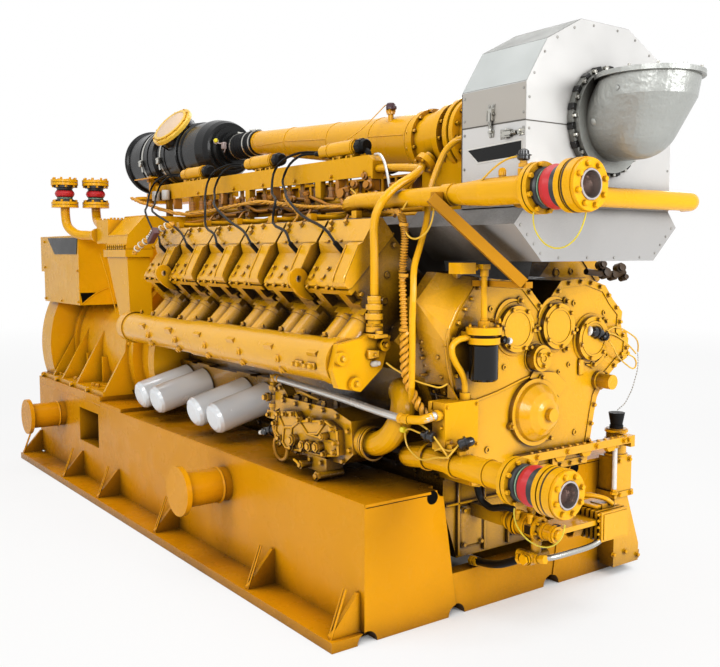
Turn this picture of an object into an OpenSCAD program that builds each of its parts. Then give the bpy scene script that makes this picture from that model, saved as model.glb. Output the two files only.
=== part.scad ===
// Gas engine generator set on a fabricated base frame
// Vee engine with two banks of six, generator, charge cooler, air filter and exhaust housing.
// X runs along the crankshaft (+X = free end), -Y is the filter side, +Z is up.
// The origin is on the floor under the middle of the base frame.

/* [Base frame] */
// length of the base frame
base_len = 3900; // [3400:10:4400]
// half width over the foot flanges
foot_half = 882; // [820:1:940]
// half width over the side plates
rail_half = 736; // [700:1:780]
// half gap between the rails at their top
rail_gap = 358; // [330:1:380]
// half gap between the rails at the floor
rail_gap_foot = 276; // [250:1:300]
// height of the rails
rail_top = 525; // [480:1:560]
// thickness of the foot flange
foot_thick = 40; // [25:1:60]

/* [Crankshaft line and banks] */
// height of the crankshaft above the floor
crank_z = 806; // [760:1:850]
// angle of each bank from the vertical
bank_angle = 45; // [40:1:50]
// cylinders in each bank
cyl_count = 6; // [4:1:8]
// distance between neighbouring cylinders
cyl_pitch = 322; // [300:1:340]
// place of the first cylinder along the crankshaft
cyl_first = 52; // [0:1:100]
// crankshaft to the top deck of the block
deck = 600; // [560:1:640]
// height of a cylinder head
head_high = 248; // [220:1:270]
// length of a cylinder head along the crankshaft
head_wide = 290; // [260:1:300]

/* [Generator] */
// radius of the generator frame
gen_r = 530; // [480:1:560]
// radius of the rear end housing
gen_ring_r = 710; // [660:1:725]
// front face of the generator frame
gen_front = -750; // [-800:1:-700]
// half width of the terminal box
term_half = 697; // [640:1:720]
// top of the terminal box
term_top = 1554; // [1500:1:1600]

/* [Air and exhaust] */
// height of the air filter axis
filter_z = 2075; // [2000:1:2120]
// radius of the air filter
filter_r = 205; // [180:1:230]
// end face of the exhaust housing
hood_end = 2400; // [2300:1:2500]
// radius of the exhaust outlet flange
outlet_r = 183; // [165:1:200]
// height of the exhaust outlet flange
outlet_z = 2047; // [2000:1:2100]
// inside radius of the exhaust flange
outlet_bore = 136; // [120:1:145]

/* [Water and oil] */
// radius of the water pipes at the flanges
pipe_r = 46; // [40:1:55]
// radius of the bore in a water flange
water_bore_r = 41; // [34:1:48]
// radius of a water flange
flange_r = 82; // [76:1:100]
// radius of an oil filter canister
can_r = 78; // [70:1:85]
// length of an oil filter canister
can_len = 330; // [280:1:360]

/* [Hidden] */
$fn = 64;
eps = 0.3;
// depth of the exhaust flange's bore
outlet_deep = 70;
// axis and radius of the near intake manifold
man_y = -745;
man_z = 1040;
man_r = 78;
// where a spark plug lead enters each cover, in the bank frame, and the seat's depth
plug_x = 50;
plug_y = -17;
plug_floor = 40;
// middles of the ignition coils on the rail, and how far each left neck reaches
coil_at = [-266, 489, 1175];
coil_end = 60;
half_len = base_len / 2;

yellow = [0.95, 0.65, 0.08];
dark = [0.10, 0.10, 0.11];
silver = [0.78, 0.79, 0.80];

// a box from its two corners
module span(x, y, z) {
  translate([x[0], y[0], z[0]])
    cube([x[1] - x[0], y[1] - y[0], z[1] - z[0]]);
}

// cylinders lying along the three axes
module x_rod(r, x, y, z) {
  translate([x[0], y, z])
    rotate([0, 90, 0])
      cylinder(r = r, h = x[1] - x[0]);
}
module y_rod(r, x, y, z) {
  translate([x, y[0], z])
    rotate([-90, 0, 0])
      cylinder(r = r, h = y[1] - y[0]);
}
module z_rod(r, x, y, z) {
  translate([x, y, z[0]])
    cylinder(r = r, h = z[1] - z[0]);
}

// a plate section given in Y and Z, run along X
module x_plate(pts, x) {
  translate([x[0], 0, 0])
    rotate([90, 0, 90])
      linear_extrude(height = x[1] - x[0])
        polygon(pts);
}

// a plate section given in X and Z, run along Y
module y_plate(pts, y) {
  translate([0, y[1], 0])
    rotate([90, 0, 0])
      linear_extrude(height = y[1] - y[0])
        polygon(pts);
}

// the near side and its mirror image
module both_sides() {
  children();
  mirror([0, 1, 0]) children();
}

// bank frame: local z runs out along the cylinders, local -y faces down and outward
module in_bank() {
  translate([0, 0, crank_z])
    rotate([bank_angle, 0, 0])
      children();
}

// a point of the bank frame in the shared frame, as [Y, Z] for the near bank
function bank_pt(y, z) = [
  y * cos(bank_angle) - z * sin(bank_angle),
  crank_z + y * sin(bank_angle) + z * cos(bank_angle)
];

function cyl_x(i) = cyl_first + i * cyl_pitch;

// a vector brought to length one
function unit(v) = v / norm(v);

// a point between b and c on a smooth curve through a, b, c and d
function spline_pt(a, b, c, d, t) =
  0.5 * (2 * b + (c - a) * t + (2 * a - 5 * b + 4 * c - d) * t * t + (3 * b - a - 3 * c + d) * t * t * t);

// a smooth route through points p, n steps to a stretch, straight at both ends
function route(p, n) = concat(
  [p[0]],
  [for (i = [1 : len(p) - 3]) for (k = [0 : n - 1])
    spline_pt(p[i - 1], p[i], p[i + 1], p[i + 2], k / n)],
  [p[len(p) - 2], p[len(p) - 1]]
);

// a round tube that follows a route
module swept(pts, r, sides, side_axis) {
  m = len(pts);
  ring = [for (i = [0 : m - 1])
    let (
      t = unit(pts[min(i + 1, m - 1)] - pts[max(i - 1, 0)]),
      s = unit(cross(t, side_axis)),
      v = cross(s, t)
    )
    for (k = [0 : sides - 1])
      pts[i] + r * (cos(360 * k / sides) * s + sin(360 * k / sides) * v)];
  walls = [for (i = [0 : m - 2]) for (k = [0 : sides - 1])
    let (a = i * sides + k, b = i * sides + (k + 1) % sides)
    for (f = [[a, b, a + sides], [b, b + sides, a + sides]]) f];
  polyhedron(
    points = ring,
    faces = concat(
      walls,
      [[for (k = [sides - 1 : -1 : 0]) k]],
      [[for (k = [0 : sides - 1]) (m - 1) * sides + k]]
    )
  );
}

// ------------------------------------------------------------------ base frame
module rail_half_beam() {
  x_plate([
    [-foot_half, 0], [-rail_gap_foot, 0], [-rail_gap, rail_top],
    [-rail_half, rail_top], [-rail_half, foot_thick], [-foot_half, foot_thick]
  ], [-half_len, half_len]);
}

module base_rails() {
  notch_r = 45;
  notch_deep = 60;
  window_deep = 150;
  color(yellow)
    both_sides()
      difference() {
        rail_half_beam();
        span([-1120, -783], [-rail_half - 1, -rail_half + window_deep], [255, 465]);
        for (x = [-half_len - 1, half_len - notch_deep])
          for (y = [-rail_half + 14, -rail_gap_foot])
            x_rod(notch_r, [x, x + notch_deep + 1], y, 0);
        for (x = [-half_len - 1, half_len - notch_deep])
          x_rod(28, [x, x + notch_deep + 1], -rail_gap, rail_top);
      }
}

function slope_y(z) = rail_gap_foot + (rail_gap - rail_gap_foot) * z / rail_top;

module base_cross_members() {
  notch_r = 45;
  color(yellow)
    difference() {
      for (c = [
        [-half_len + 5, 60, 230], [-1000, 80, 160], [-60, 120, 160],
        [900, 80, 120], [half_len - 65, 60, 172]
      ])
        x_plate([
          [-slope_y(0), 0], [slope_y(0), 0], [slope_y(c[2]), c[2]], [-slope_y(c[2]), c[2]]
        ], [c[0], c[0] + c[1]]);
      for (x = [-half_len, half_len - 70])
        for (s = [-1, 1])
          x_rod(notch_r, [x, x + 70], s * rail_gap_foot, 0);
    }
}

module base_gussets() {
  thick = 20;
  high = 188;
  color(yellow)
    both_sides()
      for (x = [-1930, -1070, -461, 345, 1298, 1915])
        x_plate([
          [-rail_half, foot_thick], [-rail_half, high],
          [-rail_half - 12, high], [-foot_half + 12, foot_thick + 12], [-foot_half + 12, foot_thick]
        ], [x - thick / 2, x + thick / 2]);
}

module lifting_trunnions() {
  tube_r = 80;
  disc_r = 113;
  disc_y = rail_half + 216;
  color(yellow)
    both_sides()
      for (x = [-1450, 858]) {
        y_rod(tube_r, x, [-disc_y, -rail_half], 378);
        y_rod(disc_r, x, [-disc_y - 24, -disc_y], 378);
      }
}

module base_packers() {
  color(yellow)
    both_sides() {
      span([-half_len, -420], [-rail_half, -rail_gap - 20], [rail_top, rail_top + 22]);
      span([-half_len, gen_front], [-rail_half, -rail_gap - 40], [rail_top + 22, rail_top + 50]);
    }
}

// ------------------------------------------------------------------ generator
// what stays clear of the rails: a narrow part between them and the full width above z = low
module frame_clip(low, floor_z) {
  gap = 8;
  x_plate([
    [-slope_y(floor_z) + gap, floor_z], [slope_y(floor_z) - gap, floor_z],
    [rail_gap - gap, rail_top], [rail_gap - gap, low], [900, low], [900, 1600],
    [-900, 1600], [-900, low], [-rail_gap + gap, low], [-rail_gap + gap, rail_top]
  ], [-half_len, 0]);
}

module generator_frame() {
  color(yellow)
    intersection() {
      union() {
        x_rod(gen_r, [-1750, gen_front], 0, crank_z);
        x_rod(gen_r + 40, [gen_front - 60, gen_front], 0, crank_z);
        x_rod(gen_r + 24, [-1750, -1690], 0, crank_z);
      }
      frame_clip(rail_top + 76, 180);
    }
}

module generator_end_housing() {
  color(yellow)
    intersection() {
      x_rod(gen_ring_r, [-half_len, -1750], 0, crank_z);
      frame_clip(rail_top + 76, 245);
      span([-half_len, 0], [-900, 900], [0, 1110]);
    }
}

module generator_feet() {
  foot_z = rail_top + 50;
  rib_top = 952;
  color(yellow)
    both_sides()
      difference() {
        union() {
          span([-half_len, gen_front], [-715, -rail_gap - 40], [foot_z, foot_z + 26]);
          for (x = [-1740, -1550, -1263, gen_front - 22])
            x_plate([
              [-705, foot_z + 26], [-505, rib_top], [-400, rib_top], [-400, foot_z + 26]
            ], [x, x + 22]);
          for (x = [-1528, -1241])
            x_plate([
              [-560, foot_z + 26], [-560, 770], [-400, 770], [-400, foot_z + 26]
            ], [x + 60, x + 82]);
        }
        x_rod(gen_r + eps, [-1749, gen_front - 60], 0, crank_z, $fn = 360);
        x_rod(gen_r + 24 + eps, [-1751, -1690 + eps], 0, crank_z, $fn = 360);
        x_rod(gen_r + 40 + eps, [gen_front - 60 - eps, gen_front + 1], 0, crank_z, $fn = 360);
      }
}

module terminal_box() {
  color(yellow)
    difference() {
      y_plate([
        [-half_len, term_top], [-1170, term_top], [-1170, 1110],
        [-1885, 1110], [-1885, 1315], [-half_len, 1315]
      ], [-term_half, term_half]);
      x_rod(gen_r + eps, [-1951, -1169], 0, crank_z);
      x_rod(gen_r + 24 + eps, [-1751, -1690 + eps], 0, crank_z);
    }
}

// ------------------------------------------------------------------ engine block
module flywheel_housing() {
  color(yellow)
    intersection() {
      union() {
        x_rod(gen_r + 20, [gen_front, -680], 0, crank_z);
        x_rod(gen_r - 40, [-680, -380], 0, crank_z);
        x_rod(gen_r + 30, [-420, -340], 0, crank_z);
        span([-640, -380], [-300, 300], [1200, 1462]);
      }
      frame_clip(rail_top + 76, 180);
    }
}

module crankcase() {
  di = bank_pt(150, deck);
  dout = bank_pt(-170, deck);
  color(yellow)
    x_plate([
      [-300, 560], [-340, 610], [-340, 960], dout, di, [-225, 1285], [-225, 1225],
      [225, 1225], [225, 1285], [-di[0], di[1]], [-dout[0], dout[1]], [340, 960], [340, 610], [300, 560]
    ], [-340, 1880]);
}

module oil_pan() {
  color(yellow)
    x_plate([
      [-290, 560], [290, 560], [290, 430], [215, 200], [-215, 200], [-290, 430]
    ], [-300, 1875]);
}

module cylinder_heads() {
  color(yellow)
    both_sides()
      in_bank()
        for (i = [0 : cyl_count - 1])
          difference() {
            translate([cyl_x(i) - head_wide / 2, -150, deck + 0.1])
              cube([head_wide, 296, head_high - 0.1]);
            translate([cyl_x(i) - 58, -151, deck + 150])
              cube([116, 34, 76]);
            translate([cyl_x(i) - head_wide / 2 - 1, -151, deck + 176])
              cube([40, 26, 50]);
            translate([cyl_x(i) + head_wide / 2 - 39, -151, deck + 176])
              cube([40, 26, 50]);
          }
}

module rocker_covers() {
  seat = deck + head_high;
  wide = 304;
  rib = 86;
  color(yellow)
    both_sides()
      in_bank()
        for (i = [0 : cyl_count - 1])
          translate([cyl_x(i), 0, seat])
            difference() {
              union() {
                translate([-wide / 2, 0, 0])
                  rotate([90, 0, 90])
                    linear_extrude(height = wide)
                      polygon([
                        [-128, 0], [146, 0], [156, 84], [128, 107],
                        [30, 86], [18, 70], [4, 46], [-128, 20], [-140, 12], [-140, 4]
                      ]);
                translate([wide / 2 - rib, 0, 0])
                  rotate([90, 0, 90])
                    linear_extrude(height = rib)
                      polygon([
                        [-120, 2], [14, 2], [24, 84], [6, 90], [-118, 50], [-142, 36], [-148, 22], [-146, 6]
                      ]);
                translate([plug_x, plug_y, 30])
                  cylinder(r = 21, h = 22);
                for (x = [-120, -40])
                  translate([x, -108, 20])
                    cylinder(r = 13, h = 12);
              }
              translate([plug_x, plug_y, plug_floor])
                cylinder(r = 11.5, h = 60);
            }
}

module lifting_eyes() {
  disc_r = 43;
  thick = 17.2;
  color(yellow)
    both_sides()
      for (i = [0, 4])
        translate([cyl_x(i) + cyl_pitch / 2 - thick / 2, 0, 0])
          in_bank()
            rotate([90, 0, 90])
              difference() {
                union() {
                  translate([-142, deck + 296])
                    cylinder(r = disc_r, h = thick);
                  linear_extrude(height = thick)
                    polygon([
                      [-182, deck + 300], [-186, deck + 262], [-180, deck + 226], [-166, deck + 200],
                      [-150.3, deck + 186], [-150.3, deck + 246], [-120, deck + 258]
                    ]);
                }
                translate([-142, deck + 296, -1])
                  cylinder(r = 14, h = thick + 2);
              }
}

// ------------------------------------------------------------------ intake side
module runner(x, r) {
  drop = 108;
  bend = 112;
  port = bank_pt(-150 - 30, deck + 100);
  mid_y = port[0] - drop * sin(45);
  mid_z = port[1] - drop * cos(45);
  translate([x, port[0], port[1]])
    rotate([135, 0, 0])
      cylinder(r = r, h = drop);
  translate([x, mid_y - bend * (1 - cos(45)) + bend, mid_z - bend * sin(45)])
    rotate([90, 0, 0])
      rotate([0, -90, 0])
        rotate_extrude(angle = 45)
          translate([bend, 0])
            circle(r = r);
}

module intake_manifolds() {
  shift = 82;
  color(yellow)
    both_sides() {
      x_rod(man_r, [-224, 1810], man_y, man_z);
      x_rod(man_r - 8, [-240, -224], man_y, man_z);
      x_rod(man_r + 7, [-160, -138], man_y, man_z);
      x_rod(man_r + 6, [640, 1810], man_y, man_z);
      x_rod(man_r + 12, [1790, 1846], man_y, man_z);
      for (i = [0 : cyl_count - 1]) {
        for (s = [-1, 1])
          runner(cyl_x(i) + shift + s * 49, 52);
        translate([cyl_x(i) + shift - 30, man_y - man_r + 14, man_z - 16])
          rotate([28, 0, 0])
            cube([60, 20, 56]);
      }
      in_bank()
        for (i = [0 : cyl_count - 1])
          for (s = [-1, 1]) {
            translate([cyl_x(i) + shift + s * 49 - 47, -180, deck + 46])
              cube([96, 29.9, 108]);
            translate([cyl_x(i) + shift + s * 49, -158, deck + 100])
              rotate([90, 0, 0])
                cylinder(r = 56, h = 40);
          }
    }
}

module intake_ducts() {
  color(yellow)
    both_sides() {
      y_plate([
        [-662, 1420], [-352, 1420], [-320, 990], [-439, 990]
      ], [-700, -565]);
      span([-680, -340], [-715, -550], [1420, 1440]);
      span([-680, -340], [-715, -550], [1440, 1462]);
    }
}

module charge_cooler() {
  color(yellow) {
    x_plate([
      [-700, 1492], [-690, 1545], [-585, 1655], [585, 1655], [690, 1545], [700, 1492],
      [700, 1462], [-700, 1462]
    ], [-662, -360]);
    span([-850, -662], [-690, -560], [1500, 1640]);
  }
}

module cooler_pipes() {
  tube_r = 28;
  plate_r = 82;
  tops = [[-1180, -770], [-1130, -590]];
  color(yellow) {
    for (p = tops)
      for (z = [1728, 1747, 1866, 1885])
        z_rod(plate_r, p[0], p[1], [z, z + 16]);
    for (p = tops)
      for (z = [1740, 1880])
        z_rod(plate_r - 24, p[0], p[1], [z, z + 10]);
    swept(route([
      [-1180, -770, 1735], [-1180, -770, 1690], [-1158, -764, 1612], [-1070, -738, 1562],
      [-970, -702, 1552], [-900, -685, 1552], [-850.4, -685, 1552]
    ], 5), tube_r, 16, [0, 1, 0]);
    swept(route([
      [-1130, -590, 1735], [-1130, -590, 1706], [-1096, -596, 1650], [-1010, -608, 1624],
      [-905, -617, 1610], [-850.4, -617, 1610]
    ], 5), tube_r, 16, [0, 1, 0]);
    translate([-870, -685, 1552])
      rotate([0, 90, 0])
        cylinder(r = 40, h = 19.6);
    translate([-870, -617, 1610])
      rotate([0, 90, 0])
        cylinder(r = 40, h = 19.6);
  }
}

module cooler_bellows() {
  low = 1763.3;
  high = 1865.7;
  mid = (low + high) / 2;
  color(dark)
    for (p = [[-1180, -770], [-1130, -590]])
      translate([p[0], p[1], 0])
        rotate_extrude()
          polygon([
            [0, low], [62, low], [62, low + 12], [50, low + 16], [46, low + 26], [56, mid - 12],
            [60, mid], [56, mid + 12], [46, high - 26], [50, high - 16], [62, high - 12],
            [62, high], [0, high]
          ]);
}

// ------------------------------------------------------------------ air path
module air_filter() {
  left = -1562;
  color(dark) {
    translate([left, 0, filter_z])
      rotate([0, 90, 0])
        rotate_extrude()
          polygon([
            [0, 0], [filter_r + 11, 0], [filter_r + 11, 28], [filter_r - 2, 34],
            [filter_r - 2, 430], [filter_r - 20, 438], [filter_r - 20, 742],
            [filter_r - 8, 748], [filter_r - 8, 768], [filter_r - 20, 774], [filter_r - 20, 812],
            [filter_r - 12, 818], [filter_r - 12, 834], [filter_r - 20, 840],
            [filter_r - 20, 1022], [filter_r - 34, 1102], [filter_r - 50, 1142],
            [filter_r - 72, 1146], [filter_r - 76, 1176], [filter_r - 104, 1184],
            [filter_r - 110, 1218], [filter_r - 128, 1224], [filter_r - 132, 1258],
            [filter_r - 145, 1262], [0, 1262]
          ]);
    translate([-953, 20, filter_z + 30])
      rotate([49, 9, 0])
        cylinder(r = 128, h = 208);
  }
}

module air_filter_cap() {
  color(yellow)
    translate([-953, 20, filter_z + 30])
      rotate([49, 9, 0])
        translate([0, 0, 208.3]) {
          cylinder(r = 150, h = 26);
          cylinder(r = 132, h = 33);
        }
}

module filter_cradle() {
  color(yellow) {
    span([-1380, -1080], [-226, -190], [1934, 1940]);
    span([-1256, -1224], [-190, -176], [1916, 1940]);
    for (x = [-1240, -698]) {
      difference() {
        span([x - 16, x + 16], [-176, 176], [1840, 1960]);
        x_rod(x < -1000 ? filter_r - 1.7 : filter_r - 19.7, [x - 21, x + 21], 0, filter_z, $fn = 360);
      }
      span([x - 20, x + 20], [-190, 190], [1806, 1840]);
    }
    span([-1330, -1230], [-120, -60], [1776, 1812]);
    span([-700, -640], [-150, 150], [1655, 1800]);
    span([-1300, -580], [-60, 60], [1776, 1806]);
    z_rod(96, -1380, -120, [1806, 1824]);
    z_rod(70, -1380, -120, [1780, 1806]);
  }
}

module intake_bellows() {
  color(dark)
    translate([-299.7, 0, filter_z])
      rotate([0, 90, 0])
        rotate_extrude()
          polygon([
            [0, 0], [74, 0], [74, 26], [66, 32], [62, 46], [74, 60], [76, 70], [62, 88],
            [74, 106], [76, 116], [62, 134], [74, 152], [74, 162], [64, 176], [68, 190],
            [70, 238], [0, 238]
          ]);
}

module intake_pipe() {
  color(yellow) {
    intersection() {
      translate([-80, 0, filter_z + 2])
        rotate([0, 95.5, 0])
          cylinder(r1 = 63, r2 = 130, h = 1590);
      span([-61.4, 1451.7], [-200, 200], [1700, 2300]);
    }
    z_rod(13, 1250, -70, [2000, 2078]);
    x_rod(17, [1236, 1264], -70, 2086);
  }
}

module mixer_housing() {
  color(yellow) {
    x_rod(142, [1452, 1482], 0, 1930);
    x_rod(124, [1482, 1560], 0, 1930);
    x_rod(132, [1560, 1620], 0, 1930);
    x_rod(146, [1620, 1652], 0, 1932);
    x_rod(118, [1652, 1700], 0, 1932);
    x_rod(156, [1700, 1724], 0, 1936);
    x_rod(150, [1732, 1756], 0, 1936);
    x_rod(112, [1700, 2084.7], 0, 1936);
    span([1500, 1780], [-92, 92], [1600.3, 1860]);
  }
}

module exhaust_shield() {
  color(silver)
    x_plate([
      [-215, 1286], [215, 1286], [300, 1560], [200, 1600], [-200, 1600], [-300, 1560]
    ], [0, 1830]);
}

module heat_housing() {
  color(silver)
    x_plate([
      [-310, 1411], [310, 1411], [447, 1538], [392, 1600], [-392, 1600], [-447, 1538]
    ], [1830.3, hood_end]);
}

module exhaust_hood() {
  color(silver)
    x_plate([
      [-397, 1600], [397, 1600], [397, 2011], [300, 2162], [130, 2250], [-130, 2250],
      [-300, 2162], [-397, 2011]
    ], [2085, hood_end]);
}

module exhaust_elbow() {
  ring_r = 193;
  axis_z = 1905;
  mouth = outlet_z - 14;
  mid = hood_end + 190;
  color(silver) {
    x_rod(ring_r, [hood_end, hood_end + 22], 0, axis_z);
    x_rod(ring_r - 12, [hood_end + 22, hood_end + 40], 0, axis_z);
    difference() {
      union() {
        hull() {
          x_rod(140, [hood_end + 36, hood_end + 42], 0, axis_z);
          translate([hood_end + 150, 0, axis_z - 2])
            sphere(r = 140, $fn = 48);
          translate([mid, 0, mouth - 8])
            cylinder(r = 168, h = 8);
          translate([mid - 6, 0, mouth - 70])
            cylinder(r = 163, h = 8);
        }
        z_rod(outlet_r, mid, 0, [mouth - 2, mouth + 14]);
      }
      z_rod(outlet_bore, mid, 0, [mouth + 14 - outlet_deep, mouth + 15]);
    }
  }
}

// ------------------------------------------------------------------ ignition
module ignition_rails() {
  color(yellow)
    both_sides() {
      difference() {
        y_plate([
          [-680, 1760], [1490, 1760], [1522, 1748], [1522, 1824], [1490, 1848], [-680, 1848]
        ], [-378, -322]);
        span([-679, 1489], [-366, -321], [1759, 1836]);
      }
      span([-560, -516], [-366.1, -340], [1655.3, 1836]);
      for (x = [440, 1090]) {
        x_plate([
          [-378, 1391], [-330, 1343], [-330, 1372], [-351, 1398], [-351, 1836], [-378, 1836]
        ], [x, x + 44]);
      }
    }
}

module ignition_coils() {
  color(yellow)
    both_sides()
      for (x = coil_at) {
        x_rod(34, [x, x + 200], -350, 1893);
        x_rod(29, [x - coil_end, x], -350, 1893);
        x_rod(27, [x + 200, x + 216], -350, 1893);
        span([x + 50, x + 110], [-366, -334], [1848.3, 1864]);
        span([x + 150, x + 200], [-366, -334], [1848.3, 1864]);
      }
}

// ------------------------------------------------------------------ water pipes
module upper_water_pipe() {
  z = 1642;
  shift = 15;
  color(yellow) {
    x_rod(34, [1600, 2160], -520, z);
    translate([2160, -520, z])
      rotate([0, 90, 0])
        cylinder(r1 = 34, r2 = pipe_r, h = 180);
    x_rod(pipe_r, [2340, 2545 + shift], -520, z);
    x_rod(56, [2508 + shift, 2530 + shift], -520, z);
    x_rod(flange_r, [2545 + shift, 2561 + shift], -520, z);
    x_rod(flange_r - 20, [2561 + shift, 2566 + shift], -520, z);
    x_rod(flange_r, [2566 + shift, 2582 + shift], -520, z);
    x_rod(40, [2140, 2185], -520, z);
    z_rod(12, 2500, -520, [z + 40, z + 66]);
    swept(route([
      [1610, -520, z], [1560, -516, z - 4], [1525, -490, z - 14], [1514, -452, z - 24]
    ], 4), 32, 12, [0, 0, 1]);
  }
}

module upper_water_flange() {
  z = 1642;
  shift = 15;
  color(yellow)
    difference() {
      union() {
        x_rod(flange_r, [2690 + shift, 2710 + shift], -520, z);
        x_rod(flange_r - 22, [2710 + shift, 2730 + shift], -520, z);
        x_rod(flange_r, [2716 + shift, 2752 + shift], -520, z);
        x_rod(flange_r - 4, [2752 + shift, 2765 + shift], -520, z);
      }
      x_rod(water_bore_r, [2694 + shift, 2766 + shift], -520, z);
    }
}

module lower_water_pipe() {
  z = 681;
  color(yellow) {
    x_rod(45, [2130, 2200], -480, z);
    translate([2200, -480, z])
      rotate([0, 90, 0])
        cylinder(r1 = 45, r2 = pipe_r + 1, h = 60);
    x_rod(pipe_r + 1, [2260, 2445], -480, z);
    swept(route([
      [2150, -480, z], [2080, -480, z], [1980, -480, z - 5], [1900, -474, z - 18],
      [1856, -448, z - 26], [1834, -405, z - 26], [1832, -372, z - 26], [1832, -340.3, z - 26]
    ], 4), 42, 16, [0, 0.2, 1]);
    x_rod(flange_r, [2445, 2461], -480, z);
    x_rod(flange_r - 20, [2461, 2466], -480, z);
    x_rod(flange_r, [2466, 2482], -480, z);
  }
}

module lower_water_flange() {
  z = 681;
  color(yellow)
    difference() {
      union() {
        x_rod(flange_r, [2600, 2618], -480, z);
        x_rod(flange_r - 22, [2618, 2634], -480, z);
        x_rod(flange_r, [2624, 2672], -480, z);
        x_rod(flange_r - 4, [2672, 2684], -480, z);
      }
      x_rod(water_bore_r, [2604, 2685], -480, z);
    }
}

// ------------------------------------------------------------------ free end
module gear_case() {
  back = 1900;
  step = 1960;
  front = 2080;
  color(yellow) {
    x_plate([
      [-330, 560], [330, 560], [352, 682], [369, 766], [386, 833], [429, 899], [518, 965],
      [580, 987], [587, 1074], [533, 1117], [541, 1190], [477, 1245], [425, 1305], [300, 1340],
      [150, 1330], [50, 1226], [-60, 1330], [-276, 1372], [-404, 1369], [-448, 1315],
      [-507, 1263], [-500, 1163], [-488, 1100], [-456, 950], [-430, 900], [-370, 760], [-340, 640]
    ], [back, step]);
    x_plate([
      [-330, 560], [330, 560], [352, 682], [369, 766], [386, 833], [429, 899], [518, 965],
      [580, 987], [587, 1074], [533, 1117], [541, 1190], [477, 1245], [425, 1305], [300, 1340],
      [150, 1330], [50, 1226], [-60, 1330], [-300, 1350], [-339, 1300], [-405, 1224],
      [-442, 1160], [-453, 1099], [-440, 1020], [-420, 950], [-400, 900], [-370, 760], [-340, 640]
    ], [step, front]);
    hull() {
      x_plate([
        [-310, 1370], [-404, 1368], [-448, 1314], [-506, 1262], [-499, 1163], [-487, 1100],
        [-456, 951], [-320, 900]
      ], [step - 1, step]);
      x_plate([
        [-300, 1349], [-339, 1299], [-405, 1223], [-442, 1160], [-453, 1099], [-440, 1020],
        [-420, 951], [-300, 900]
      ], [front - 1, front - 0.5]);
    }
  }
}

module gear_covers() {
  color(yellow) {
    for (c = [[-113, 1148, 90, 24], [122, 1148, 92, 24], [335, 1086, 92, 24], [-335, 1086, 88, 12]])
      x_rod(c[2], [2080.3, 2080 + c[3]], c[0], c[1]);
    x_rod(52, [2080.3, 2122], 8, 1028);
    x_rod(38, [2122, 2128], 8, 1028);
    x_rod(134, [2080.3, 2100], 0, 812);
    translate([2100, 0, 812])
      rotate([0, 90, 0])
        rotate_extrude()
          polygon([
            [0, 0], [118, 0], [112, 14], [84, 44], [60, 62], [44, 68], [26, 70], [26, 92], [0, 92]
          ]);
    x_plate([[140, 860], [190, 905], [120, 960], [-10, 975], [-30, 950], [100, 900]], [2080.3, 2092]);
    x_rod(31, [2080.3, 2160], 392, 905);
    x_rod(40, [2080.3, 2096], 392, 905);
  }
}

module oil_filters() {
  color([0.7, 0.71, 0.72])
    for (x = [-243, -31, 435, 654])
      translate([x, -374, 726])
        rotate([105, 0, 0])
          rotate_extrude()
            polygon([
              [0, 0], [can_r - 8, 0], [can_r, 8], [can_r, can_len - 70],
              [can_r - 1, can_len - 24], [can_r - 10, can_len - 8], [can_r - 26, can_len],
              [0, can_len]
            ]);
}

module filter_heads() {
  tilt = 105;
  color(yellow)
    difference() {
      union() {
        span([-335, 745], [-400, -340.3], [640, 815]);
        for (x = [-243, -31, 435, 654])
          span([x - 72, x + 72], [-406, -350], [700, 824]);
      }
      translate([0, -374 + 0.3, 726])
        rotate([tilt, 0, 0])
          translate([-400, -200, 0])
            cube([1300, 400, 200]);
    }
}

module oil_cooler() {
  color(yellow) {
    y_plate([
      [1128, 640], [1150, 770], [1190, 812], [1560, 812], [1690, 780], [1705, 650], [1640, 600],
      [1260, 580], [1160, 596]
    ], [-610, -450]);
    y_plate([
      [1160, 664], [1180, 752], [1330, 772], [1360, 740], [1560, 768], [1640, 740], [1650, 640],
      [1540, 616], [1250, 600]
    ], [-640, -610]);
    for (p = [[1334, 654, 24], [1420, 648, 20], [1470, 650, 22], [1525, 656, 22], [1570, 708, 16]])
      y_rod(p[2], p[0], [-664, -640], p[1]);
    span([1420, 1560], [-640, -560], [548, 610]);
    y_rod(16, 1436, [-676, -560], 570);
    y_rod(17, 1556, [-676, -560], 545);
    for (z = [752, 792, 832])
      z_rod(26, 1070, -590, [z, z + 18]);
    z_rod(19, 1070, -590, [730, 850]);
    span([1030, 1140], [-606, -560], [700, 736]);
    y_plate([[1090, 736], [1096, 850], [1140, 872], [1200, 820], [1200, 790]], [-600, -550]);
    span([1200, 1600], [-450, -340.3], [640, 800]);
    x_rod(66, [1690, 1724], -540, 694);
  }
}

module breather_canister() {
  color(dark)
    translate([2160, -349, 0])
      rotate_extrude()
        polygon([
          [0, 974], [46, 974], [54, 982], [54, 1102], [50, 1110.7], [0, 1110.7]
        ]);
}

module bracket_box() {
  color(yellow) {
    span([2080.3, 2150], [-525, -363], [728, 905]);
  }
}

module oil_filler() {
  x = 2003;
  y = 624;
  color(yellow) {
    z_rod(45, x, y, [540, 662]);
    span([x - 48, x + 48], [y - 56, y + 50], [386, 540]);
    span([x - 52, x + 52], [y - 68, y + 62], [360, 386]);
    x_plate([
      [y - 46, 360], [y + 40, 360], [y + 130, 120], [y + 130, 40.3], [y - 46, 40.3]
    ], [x - 40, x + 36]);
    span([half_len, x - 30], [y - 46, y + 46], [60, 360]);
    span([2085, 2117], [-110, y - 30], [618, 650]);
    span([x + 30, 2117], [y - 44, y - 18], [600, 650]);
    span([2085, 2100], [100, 130], [560, 618]);
  }
}

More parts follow.
